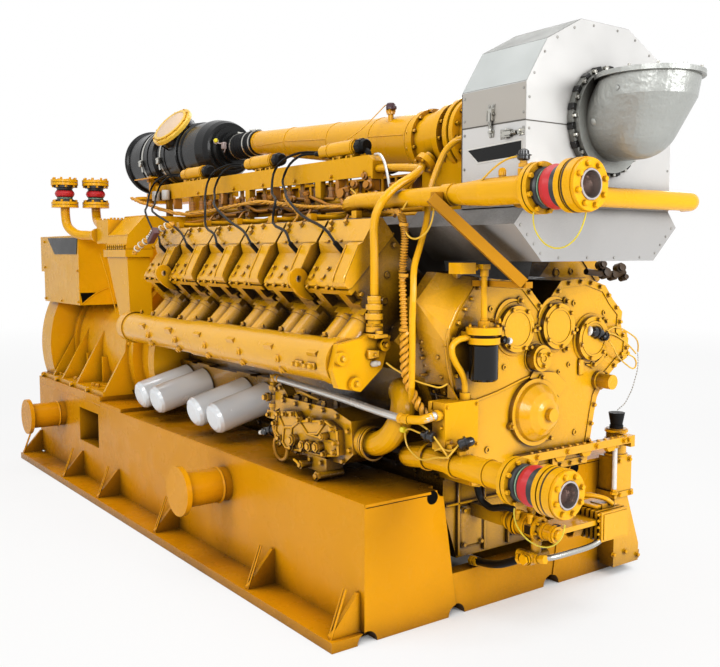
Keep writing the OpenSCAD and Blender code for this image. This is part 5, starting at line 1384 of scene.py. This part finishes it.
# ---------------------------------------------------------------- sensor wires and cap chain
# Thin wires from the far-side and water-pipe sensors were sprayed yellow. A
# bead chain runs from the far sensor bracket down to the oil filler cap.
shape, fittings = bmesh.new(), bmesh.new()
wire_runs = [
    [(2.132, 0.396, 1.074), (2.128, 0.43, 1.046), (2.112, 0.475, 1.01), (2.098, 0.52, 0.985),
     (2.086, 0.575, 0.958), (2.08, 0.62, 0.938), (2.078, 0.646, 0.94), (2.08, 0.65, 0.962),
     (2.082, 0.63, 0.985), (2.084, 0.59, 1.0), (2.086, 0.54, 1.006)],
    [(2.1, 0.42, 1.112), (2.092, 0.48, 1.126), (2.084, 0.54, 1.116), (2.08, 0.6, 1.092),
     (2.074, 0.65, 1.068), (2.062, 0.684, 1.04), (2.052, 0.698, 1.004)],
    [(2.1, 0.408, 1.1), (2.09, 0.47, 1.098), (2.084, 0.545, 1.07), (2.08, 0.61, 1.03),
     (2.074, 0.655, 1.0)],
    [(2.492, -0.522, 1.748), (2.455, -0.528, 1.744), (2.42, -0.536, 1.73), (2.386, -0.542, 1.709),
     (2.352, -0.546, 1.684), (2.318, -0.548, 1.664), (2.27, -0.55, 1.656), (2.215, -0.548, 1.656),
     (2.16, -0.54, 1.657), (2.085, -0.532, 1.662), (2.02, -0.54, 1.655), (1.965, -0.548, 1.63),
     (1.942, -0.556, 1.6)],
    [(1.966, -0.566, 1.53), (1.982, -0.566, 1.508), (2.002, -0.564, 1.495), (2.026, -0.56, 1.492),
     (2.052, -0.554, 1.502), (2.072, -0.546, 1.52), (2.084, -0.536, 1.556), (2.088, -0.528, 1.61),
     (2.086, -0.524, 1.66)],
    [(1.906, -0.602, 1.034), (1.925, -0.59, 1.018), (1.95, -0.574, 1.002), (1.985, -0.556, 0.982),
     (2.02, -0.536, 0.968), (2.05, -0.512, 0.958), (2.07, -0.482, 0.95), (2.082, -0.455, 0.962)],
    [(2.208, -0.512, 0.764), (2.204, -0.522, 0.752), (2.198, -0.53, 0.74), (2.19, -0.536, 0.728),
     (2.176, -0.54, 0.716), (2.15, -0.545, 0.712), (2.12, -0.548, 0.706), (2.085, -0.55, 0.694),
     (2.05, -0.552, 0.688), (2.015, -0.556, 0.7), (1.985, -0.56, 0.722), (1.972, -0.562, 0.75),
     (1.968, -0.562, 0.78)],
    [(2.064, -0.562, 0.787), (2.04, -0.568, 0.792), (2.01, -0.57, 0.796), (1.985, -0.568, 0.79),
     (1.97, -0.564, 0.78)],
    [(1.985, -0.56, 0.812), (2.03, -0.562, 0.822), (2.08, -0.56, 0.812), (2.12, -0.556, 0.788),
     (2.15, -0.548, 0.756), (2.168, -0.538, 0.73), (2.176, -0.532, 0.712)],
    [(2.207, -0.51, 0.764), (2.196, -0.518, 0.748), (2.172, -0.526, 0.738), (2.14, -0.536, 0.742),
     (2.112, -0.54, 0.73)],
    [(1.416, -0.405, 1.712), (1.455, -0.44, 1.706), (1.5, -0.455, 1.69), (1.55, -0.462, 1.655),
     (1.6, -0.466, 1.618)],
]
for run in wire_runs:
    tube(shape, run, 0.0034, 8, 7)
sensor_yellow = painted("sensor_yellow", (240, 190, 52), (110, 84, 20), (0.28, 0.42), (240.0, 60.0, 0.3),
    (0.1, 0.0005), reach=0.01, amount=0.5, deep_shade=(0.2, 0.3))
finished("sensor_wires", shape, sensor_yellow)
for x, y, z in ((2.508, -0.52, 1.712), (2.415, -0.52, 1.672)):
    turned(fittings, [(0.016, 0), (0.016, 0.012), (0.012, 0.012), (0.012, 0.022)], (x, y, z), (0.05, 0, 1), 6)
turned(fittings, [(0, 0.02), (0.013, 0.02), (0.013, 0.036), (0.008, 0.044), (0, 0.046)],
    (2.415, -0.52, 1.672), (0, 0, 1), 18)
for x, y, z in ((2.197, -0.48, 0.724), (2.142, -0.5, 0.722)):
    turned(fittings, [(0.022, 0), (0.022, 0.016), (0.015, 0.02), (0.015, 0.034), (0.018, 0.034),
        (0.018, 0.048)], (x, y, z), (0, -0.15, 1), 6)
block(fittings, (2.15, -0.52, 0.728), (2.178, -0.484, 0.758), 0.004)
for x, inner, outer, half in ((2.01, 0.0485, 0.052, 0.007), (2.165, 0.0485, 0.0515, 0.006),
        (2.335, 0.0478, 0.051, 0.005)):
    band(fittings, inner, outer, -half, half, (x, *lower_axis), (1, 0, 0), 40)
block(fittings, (2.048, 0.528, 0.992), (2.079, 0.6, 1.022), 0.004)
for y in (0.545, 0.585):
    turned(fittings, [(0.009, 0), (0.009, 0.01)], (2.079, y, 1.007), (1, 0, 0), 6)
finished("sensor_fittings", fittings, yellow_pipe)
shape = bmesh.new()
turned(shape, [(0.01, -0.016), (0.012, -0.006), (0.012, 0.012), (0.008, 0.018)], (1.964, -0.565, 0.786),
    (0.4, -1, 0.2), 16)
finished("yellow_sensor_plug", shape, signal_yellow)
chain_route = [(2.05, 0.699, 1.0), (2.05, 0.703, 0.975), (2.05, 0.704, 0.945), (2.047, 0.703, 0.915),
    (2.041, 0.7, 0.885), (2.034, 0.697, 0.855), (2.027, 0.694, 0.828), (2.018, 0.69, 0.805),
    (2.012, 0.684, 0.786), (2.01, 0.672, 0.77), (2.008, 0.655, 0.758), (2.005, 0.638, 0.748),
    (2.003, 0.626, 0.738)]
line = through(chain_route, 12)
shape, gone = bmesh.new(), 0.0
for one, two in zip(line, line[1:]):
    gone += (two - one).length
    if gone > 0.0105:
        gone = 0.0
        bmesh.ops.create_icosphere(shape, subdivisions=1, radius=0.0036, matrix=Matrix.Translation(two))
tube(shape, line, 0.0011, 5, 1)
finished("filler_cap_chain", shape, plated_steel)

# ---------------------------------------------------------------- flange joints and hose unions
# Each end flange is a bolted pair of discs with a thin gap between them.
# Yellow unions join the bright oil hose to its ports.
shape, unions = bmesh.new(), bmesh.new()
for x, axis, name in ((2.64, lower_axis, "lower_water_flange"), (2.736, upper_axis, "upper_water_flange")):
    low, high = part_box(name)
    reach = (high[2] - low[2]) / 2 + 0.0006
    band(shape, reach - 0.01, reach, -0.0032, 0.0032, (x, *axis), (1, 0, 0), 64)
finished("flange_gaps", shape, joint_and_shade_casting)
for place, aim in (((1.985, -0.599, 0.8365), (1, 0.05, 0.03)), ((2.126, -0.552, 0.86), (0, 1, 0)),
        ((1.07, -0.59, 0.848), (0, 0, 1)), ((1.094, -0.6, 0.8865), (1, -0.05, 0))):
    turned(unions, [(0.021, 0), (0.021, 0.014), (0.0175, 0.016), (0.0175, 0.036), (0.02, 0.038),
        (0.02, 0.05)], place, aim, 8)
tube(unions, [(2.035, -0.596, 0.838), (2.06, -0.59, 0.84), (2.09, -0.584, 0.844), (2.112, -0.57, 0.853),
    (2.124, -0.556, 0.86)], 0.0165, 14, 5)
finished("hose_unions", unions, yellow_pipe)

# ---------------------------------------------------------------- oil cooler details
# The oil cooler is one casting on the engine's near side. Ribs cross its
# cover, cap screws hold it, and unions and a drain cock are screwed into it.
cover_face = -0.64
cooler_ribs = [
    [(1.165, 0.664), (1.182, 0.748), (1.328, 0.768), (1.36, 0.736), (1.558, 0.764), (1.636, 0.738),
     (1.646, 0.642), (1.54, 0.62), (1.25, 0.604), (1.165, 0.664)],
    [(1.182, 0.748), (1.235, 0.69), (1.3, 0.7), (1.36, 0.736)],
    [(1.235, 0.69), (1.225, 0.625)],
    [(1.36, 0.736), (1.425, 0.69), (1.5, 0.705), (1.558, 0.764)],
    [(1.425, 0.69), (1.64, 0.69)],
    [(1.3, 0.7), (1.29, 0.61)],
]
shape, cooler_screws = bmesh.new(), []
for rib in cooler_ribs:
    for (x, z), (xx, zz) in zip(rib, rib[1:]):
        tube(shape, [(x, cover_face - 0.001, z), (xx, cover_face - 0.001, zz)], 0.0065, 8, 1)
for x, z in ((1.172, 0.7), (1.205, 0.745), (1.255, 0.752), (1.322, 0.762), (1.372, 0.744), (1.452, 0.756),
        (1.545, 0.758), (1.618, 0.744), (1.638, 0.69), (1.63, 0.652), (1.56, 0.632), (1.4, 0.622),
        (1.31, 0.616), (1.21, 0.64)):
    turned(shape, [(0.014, 0), (0.012, 0.01)], (x, cover_face, z), (0, -1, 0), 16)
    cooler_screws.append(((x, cover_face - 0.01, z), (0, -1, 0)))
for x, z in ((1.145, 0.735), (1.19, 0.8), (1.29, 0.798), (1.4, 0.8), (1.5, 0.8), (1.6, 0.79),
        (1.676, 0.74), (1.688, 0.665), (1.64, 0.612), (1.3, 0.592), (1.17, 0.606)):
    cooler_screws.append(((x, -0.61, z), (0, -1, 0)))
for x, z, size in ((1.334, 0.654, 0.024), (1.42, 0.648, 0.02), (1.47, 0.65, 0.022), (1.525, 0.656, 0.022),
        (1.57, 0.708, 0.016)):
    turned(shape, [(size * 0.95, 0), (size * 0.95, 0.01), (size * 0.6, 0.01), (size * 0.6, 0.016)],
        (x, -0.664, z), (0, -1, 0), 6)
for x, y, z, size, tall in ((1.24, -0.575, 0.812, 0.02, 0.02), (1.31, -0.56, 0.812, 0.014, 0.034),
        (1.415, -0.57, 0.812, 0.024, 0.014), (1.5, -0.55, 0.812, 0.016, 0.026),
        (1.345, -0.595, 0.812, 0.011, 0.018), (1.47, -0.59, 0.812, 0.012, 0.02)):
    turned(shape, [(size, 0), (size, tall * 0.6), (size * 0.7, tall * 0.6), (size * 0.7, tall)],
        (x, y, z), (0, 0, 1), 6)
tube(shape, [(1.24, -0.575, 0.828), (1.27, -0.585, 0.842), (1.31, -0.59, 0.846), (1.36, -0.585, 0.836),
    (1.41, -0.572, 0.824)], 0.008, 8)
for x, y, z, size in ((1.436, -0.676, 0.57, 0.018), (1.556, -0.676, 0.545, 0.02)):
    turned(shape, [(size, 0), (size, 0.012), (size * 0.6, 0.012), (size * 0.6, 0.02)], (x, y, z),
        (0, -1, 0), 6)
tube(shape, [(1.436, -0.69, 0.57), (1.416, -0.692, 0.58), (1.396, -0.692, 0.586)], 0.006, 8, 2)
cooler_screws += [((x, -0.64, z), (0, -1, 0)) for x, z in ((1.45, 0.59), (1.53, 0.59))]
for z in (0.742, 0.782, 0.822):
    turned(shape, [(0.023, 0), (0.023, 0.01)], (1.07, -0.59, z), (0, 0, 1), 6)
turned(shape, [(0.02, 0), (0.02, 0.018), (0.013, 0.018), (0.013, 0.034)], (1.07, -0.616, 0.8), (0, -1, 0), 6)
cooler_screws += [((x, -0.607, 0.716), (0, -1, 0)) for x in (1.05, 1.116)]
cooler_screws += [((x, -0.6005, z), (0, -1, 0)) for x, z in ((1.112, 0.84), (1.15, 0.85), (1.176, 0.815))]
turned(shape, [(0.026, 0), (0.026, 0.014)], (1.145, -0.592, 0.64), (-0.6, -0.8, 0), 20)
turned(shape, [(0.013, 0), (0.013, 0.03)], (1.15, -0.598, 0.61), (-0.2, -0.8, -0.5), 6)
for x in (1.735, 1.75):
    band(shape, 0.062, 0.069, -0.004, 0.004, (x, -0.54, 0.694), (1, 0, 0), 40)
finished("oil_cooler_ribs", shape, yellow_casting)
bolted("oil_cooler_screws", cooler_screws, yellow_casting, 0.017, 0.012, 0.013, 0.002)
shape = bmesh.new()
ring = [(1.108, -0.612, 0.69), (1.116, -0.622, 0.668)]
ring += [(1.173 + 0.055 * math.cos(a), -0.62, 0.59 + 0.058 * math.sin(a))
    for a in [2.4 + k * 0.45 for k in range(12)]]
ring += [(1.222, -0.612, 0.64), (1.205, -0.606, 0.69), (1.185, -0.604, 0.712)]
tube(shape, ring, lambda t: 0.0088 + 0.001 * (1 if int(t * 150) % 2 else -1), 10, 14)
finished("oil_cooler_hose_loop", shape, loom_yellow)
shape, white = bmesh.new(), bmesh.new()
plug(shape, (1.118, -0.604, 0.656), (-1, -0.25, -0.2), 0.07, 0.023)
block(shape, (1.03, -0.64, 0.622), (1.066, -0.604, 0.656), 0.006)
turned(white, [(0, 0), (0.01, 0), (0.01, 0.012), (0, 0.014)], (1.03, -0.634, 0.634), (-1, -0.4, -0.2), 14)
finished("oil_cooler_plug", shape, plug_black)
finished("oil_cooler_plug_tip", white, tip_white)

# ---------------------------------------------------------------- priming pump lines
# The priming pump draws from the pan by a rubber hose at the bottom and
# delivers by a bent hose above. A bright metal hose runs across to the motor.
shape = bmesh.new()
tube(shape, [(2.046, -0.268, 0.556), (2.046, -0.262, 0.53), (2.048, -0.256, 0.506), (2.06, -0.252, 0.486),
    (2.084, -0.25, 0.474), (2.112, -0.25, 0.47), (2.15, -0.25, 0.48), (2.185, -0.246, 0.488),
    (2.215, -0.236, 0.486)], 0.013, 12)
tube(shape, [(1.95, -0.168, 0.198), (1.99, -0.172, 0.204), (2.04, -0.178, 0.214), (2.09, -0.178, 0.228),
    (2.14, -0.174, 0.25), (2.178, -0.168, 0.27)], 0.016, 12)
finished("pump_rubber_hoses", shape, lead_rubber)
pump_axis = (-0.125, 0.395)
shape, pump_screws = bmesh.new(), []
for place, aim, size, long in (((1.912, -0.166, 0.192), (1, -0.06, 0.1), 0.021, 0.045),
        ((2.176, -0.168, 0.269), (0.9, 0.1, 0.4), 0.021, 0.04), ((2.243, -0.15, 0.285), (1, 0.1, 0.2),
        0.02, 0.05), ((2.225, -0.176, 0.285), (0, -1, 0), 0.022, 0.022),
        ((2.046, -0.268, 0.545), (0, 0, 1), 0.019, 0.02)):
    turned(shape, [(size, 0), (size, long * 0.35), (size * 0.72, long * 0.35), (size * 0.72, long * 0.6),
        (size * 0.92, long * 0.6), (size * 0.92, long)], place, aim, 6)
for x, radius in ((2.09, 0.0375), (2.135, 0.0375), (2.145, 0.048), (2.19, 0.047), (2.243, 0.048),
        (2.275, 0.034), (2.318, 0.034)):
    band(shape, radius - 0.006, radius, -0.005, 0.005, (x, *pump_axis), (1, 0, 0), 32)
pump_screws += circle_of(6, 0.037, (2.25, *pump_axis), (1, 0, 0), 0.2)
for y in (-0.16, -0.092):
    for x in (2.16, 2.225):
        turned(shape, [(0.01, 0), (0.01, 0.026), (0.013, 0.026), (0.013, 0.036)], (x, y, 0.42), (0, 0, 1), 10)
turned(shape, [(0.02, 0), (0.02, 0.012), (0.012, 0.016)], (2.33, *pump_axis), (1, 0, 0), 8)
for z in (0.326, 0.35, 0.376, 0.402, 0.426):
    pump_screws += [((2.32, y, z), (0, -1 if y < 0.2 else 1, 0)) for y in (0.127, 0.293)]
block(shape, (2.19, 0.15, 0.434), (2.285, 0.265, 0.448), 0.004)
tube(shape, [(2.17, 0.145, 0.45), (2.195, 0.15, 0.47), (2.235, 0.17, 0.478), (2.28, 0.205, 0.47),
    (2.3, 0.23, 0.448)], 0.01, 10)
for turn in range(5):
    band(shape, 0.028, 0.036, -0.004, 0.004, (2.15 - 0.014 * turn, 0.21, 0.376), (1, 0, 0), 24)
finished("pump_fittings", shape, yellow_pipe)
bolted("pump_screws", pump_screws, yellow_pipe, 0.009, 0.007, 0.007, 0.0015)
shape = bmesh.new()
tube(shape, [(2.262, -0.148, 0.291), (2.29, -0.114, 0.296), (2.302, -0.06, 0.3), (2.308, 0.0, 0.303),
    (2.312, 0.06, 0.306), (2.316, 0.11, 0.314), (2.318, 0.15, 0.33), (2.318, 0.18, 0.345)], 0.0115, 12)
finished("pump_metal_hose", shape, plated_steel)
shape = bmesh.new()
coil = [(2.212, 0.075 + 0.05 * k / 56, 0.35 + 0.03 * math.cos(k * 0.785)) for k in range(57)]
coil = [(x + 0.03 * math.sin(k * 0.785), y, z) for k, (x, y, z) in enumerate(coil)]
tube(shape, coil, 0.0045, 6, 1)
finished("pump_drive_spring", shape, loom_yellow)
shape = bmesh.new()
block(shape, (2.3008, -0.122, 0.4235), (2.325, -0.1, 0.4275), 0.001)
block(shape, (2.205, -0.1715, 0.38), (2.238, -0.168, 0.412), 0.001)
finished("pump_blank_plate", shape, plate_dark)

# ---------------------------------------------------------------- oil filler and sight tube
# The filler stands at the far front corner on a welded leg. A pale sight tube
# runs up its inner side between two yellow unions.
shape, filler_screws = bmesh.new(), []
turned(shape, [(0.0105, 0), (0.0105, 0.2)], (2.052, 0.556, 0.398), (0, 0, 1), 16)
finished("oil_sight_tube", shape, tip_white)
shape = bmesh.new()
for z in (0.38, 0.59):
    turned(shape, [(0.018, 0), (0.018, 0.012), (0.013, 0.012), (0.013, 0.024)], (2.052, 0.556, z),
        (0, 0, 1), 6)
for z in (0.545, 0.612, 0.652):
    band(shape, 0.0445, 0.051, -0.005, 0.005, (2.003, 0.624, z), (0, 0, 1), 40)
filler_screws += [((2.0555 if z < 0.4 else 2.0515, y, z), (1, 0, 0))
    for y, z in ((0.585, 0.373), (0.663, 0.373), (0.585, 0.525), (0.655, 0.525))]
filler_screws += [((2.1172, y - 0.03, 0.634), (1, 0, 0)) for y in (0.59, 0.56, 0.38, 0.2, 0.02, -0.08)]
for y in (0.46, 0.3, 0.14, -0.02):
    slab(shape, [(y - 0.035, 0.6182), (y + 0.035, 0.6182), (y + 0.018, 0.596), (y - 0.018, 0.596)], 0.02,
        lambda u, v, w: Vector((2.088 + w, u, v)))
for y in [0.56 - 0.045 * k for k in range(14)]:
    turned(shape, [(0.009, 0), (0.007, 0.005)], (2.101, y, 0.65), (0, 0, 1), 12)
filler_screws += [((2.0392, y, z), (1, 0, 0)) for y, z in ((0.575, 0.1), (0.655, 0.1), (0.745, 0.068),
    (0.575, 0.3))]
finished("oil_filler_fittings", shape, yellow_pipe)
bolted("oil_filler_screws", filler_screws, yellow_pipe, 0.015, 0.01, 0.012, 0.002)

# ---------------------------------------------------------------- oil pan
# The pan is a casting bolted up to the crankcase. Ribs box in its front end,
# and two access covers sit between them.
pan_face = 1.875
shape, pan_screws = bmesh.new(), []
pan_screws += [((pan_face + 0.012, y, 0.546), (1, 0, 0)) for y in [-0.27 + 0.06 * k for k in range(10)]]
block(shape, (pan_face, -0.29, 0.534), (pan_face + 0.012, 0.29, 0.56), 0.002)
block(shape, (pan_face, -0.286, 0.424), (pan_face + 0.016, 0.286, 0.436), 0.003)
for y in (-0.215, -0.07, 0.07, 0.215):
    block(shape, (pan_face, y - 0.006, 0.212), (pan_face + 0.016, y + 0.006, 0.536), 0.003)
block(shape, (pan_face, -0.205, 0.24), (pan_face + 0.014, -0.08, 0.412), 0.01)
block(shape, (pan_face, 0.08, 0.24), (pan_face + 0.014, 0.205, 0.412), 0.01)
for y in (-0.19, -0.095, 0.095, 0.19):
    pan_screws += [((pan_face + 0.014, y, z), (1, 0, 0)) for z in (0.255, 0.398)]
for side in (-1, 1):
    pan_screws += [((-0.24 + 0.13 * k, side * 0.2902, 0.545), (0, side, 0)) for k in range(17)]
    for x in (-0.2, 0.18, 0.56, 0.94, 1.32, 1.7):
        slab(shape, [(side * 0.29, 0.55), (side * 0.296, 0.55), (side * 0.296, 0.43),
            (side * 0.29, 0.43)], 0.012, lambda u, v, w: Vector((x + w, u, v)))
finished("oil_pan_ribs", shape, yellow_casting)
bolted("oil_pan_screws", pan_screws, yellow_casting, 0.016, 0.01, 0.012, 0.002)

# ---------------------------------------------------------------- base frame edges
# The base is welded from plate. Its rails have a folded lip at each end, a
# bright worn edge along the top and welds round the trunnions and gussets.
rail_top, rail_side, rail_end = 0.525, 0.736, 1.95
shape = bmesh.new()
for side in (-1, 1):
    tube(shape, [(-rail_end, side * (rail_side - 0.001), rail_top - 0.001),
        (rail_end, side * (rail_side - 0.001), rail_top - 0.001)], 0.0028, 8, 1)
    for end in (-1, 1):
        block(shape, (end * (rail_end - 0.002), side * 0.42, rail_top - 0.011),
            (end * (rail_end + 0.005), side * (rail_side - 0.002), rail_top + 0.0005), 0.001)
    for x in (-1.45, 0.858):
        turned(shape, [(0.08, 0), (0.086, 0.002), (0.081, 0.01)], (x, side * 0.774, 0.378),
            (0, side, 0.0), 48, closed=True)
    for x in (-1.93, -1.07, -0.461, 0.345, 1.298, 1.915):
        for dx in (-0.008, 0.008):
            tube(shape, [(x + dx, side * 0.8, 0.215), (x + dx, side * 0.872, 0.028)], 0.004, 6, 1)
finished("base_edges", shape, yellow_frame)
# Black strips under the end lips and black discs on the rail ends are painted shadow.
shape = bmesh.new()
for side in (-1, 1):
    for end in (-1, 1):
        block(shape, (end * 1.9495, side * 0.424, 0.5095), (end * 1.9508, side * 0.728, 0.5135))
        turned(shape, [(0.027, 0), (0.027, 0.0012)], (end * 1.9498, side * 0.41, 0.5), (end, 0, 0), 28)
shadow_black = painted("shadow_black", (12, 10, 8), (6, 5, 4), (0.6, 0.8), reach=0.02, amount=0.5, shine=0.05)
finished("base_end_shadows", shape, shadow_black)

# ---------------------------------------------------------------- generator fittings
# The generator's cases are bolted sheet and castings. Its terminal box has a
# screwed lid and a plain dark plate, and its cooler box has bolted flanges.
shape, gen_screws, fine_screws = bmesh.new(), [], []
for side in (-1, 1):
    face = side * 0.697
    fine_screws += [((x, face, z), (0, side, 0)) for x, z in ((-1.86, 1.52), (-1.86, 1.345),
        (-1.86, 1.13), (-1.19, 1.13), (-1.19, 1.33), (-1.52, 1.125))]
    tube(shape, [(-1.172, side * 0.696, 1.112), (-1.172, side * 0.696, 1.552)], 0.0035, 6, 1)
    tube(shape, [(-1.1695, side * 0.68, 1.12), (-1.1695, side * 0.59, 1.186),
        (-1.1695, side * 0.5, 1.222)], 0.0045, 6, 2)
    tube(shape, [(-1.945, side * 0.696, 1.553), (-1.172, side * 0.696, 1.553)], 0.003, 6, 1)
    for x in [-0.64 + 0.032 * k for k in range(9)]:
        fine_screws.append(((x, side * 0.7, 1.485), (0, side, 0)))
        fine_screws.append(((x, side * 0.7, 1.469), (0, side, 0)))
    tube(shape, [(-0.662, side * 0.69, 1.545), (-0.36, side * 0.69, 1.545)], 0.004, 6, 1)
    tube(shape, [(-0.662, side * 0.585, 1.655), (-0.36, side * 0.585, 1.655)], 0.004, 6, 1)
    block(shape, (-0.664, side * 0.694, 1.488), (-0.358, side * 0.706, 1.494), 0.001)
    gen_screws += [((x, side * 0.66, 0.601), (0, 0, 1)) for x in (-1.7, -1.63, -1.4, -1.33, -1.06, -0.99,
        -0.83)]
    gen_screws += [((x, side * 0.7152, 0.588), (0, side, 0)) for x in (-1.9, -1.6, -1.3, -1.0)]
    for k in range(7):
        angle = (0.15 + 0.24 * k) if side > 0 else math.pi - (0.15 + 0.24 * k)
        gen_screws.append(((-0.75, 0.55 * math.cos(angle), 0.806 + 0.55 * math.sin(angle)), (1, 0, 0)))
    tube(shape, [(-0.772, side * 0.7, 1.44), (-0.772, side * 0.66, 1.3), (-0.772, side * 0.61, 1.08)],
        0.004, 6, 1)
for y in [-0.54 + 0.12 * k for k in range(10)]:
    fine_screws.append(((-0.36, y, 1.478), (1, 0, 0)))
    fine_screws.append(((-0.662, y, 1.478), (-1, 0, 0)))
    fine_screws.append(((-1.95, y, 1.34), (-1, 0, 0)))
for k in range(20):
    angle = 2 * math.pi * k / 20
    y, z = 0.665 * math.cos(angle), 0.806 + 0.665 * math.sin(angle)
    if 0.64 < z < 1.09:
        gen_screws.append(((-1.95, y, z), (-1, 0, 0)))
for side in (-1, 1):
    for x in (-0.839, -0.673):
        fine_screws += [((x, side * (0.6 + 0.022 * k), 1.641), (0, 0, 1)) for k in range(4)]
finished("generator_seams", shape, yellow_case)
bolted("generator_bolts", gen_screws, yellow_case, 0.024, 0.016, 0.02, 0.003)
bolted("generator_lid_screws", fine_screws, yellow_case, 0.013, 0.008, 0.01, 0.002)
shape = bmesh.new()
slab(shape, [(-1.78, 1.545), (-1.178, 1.54), (-1.205, 1.436), (-1.64, 1.436)], 0.004,
    lambda u, v, w: Vector((u, -(0.6972 + w), v)))
finished("generator_blank_plate", shape, plate_dark)
# Black triangles on the terminal box's end face are a painted shadow.
shape = bmesh.new()
for side in (-1, 1):
    slab(shape, [(side * 0.692, 1.189), (side * 0.59, 1.189), (side * 0.68, 1.124)], 0.0015,
        lambda u, v, w: Vector((-1.1698 + w, u, v)))
finished("generator_gap_shadow", shape, shadow_black)

# ---------------------------------------------------------------- sizes
# The box round everything shown but the floor.
low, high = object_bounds()
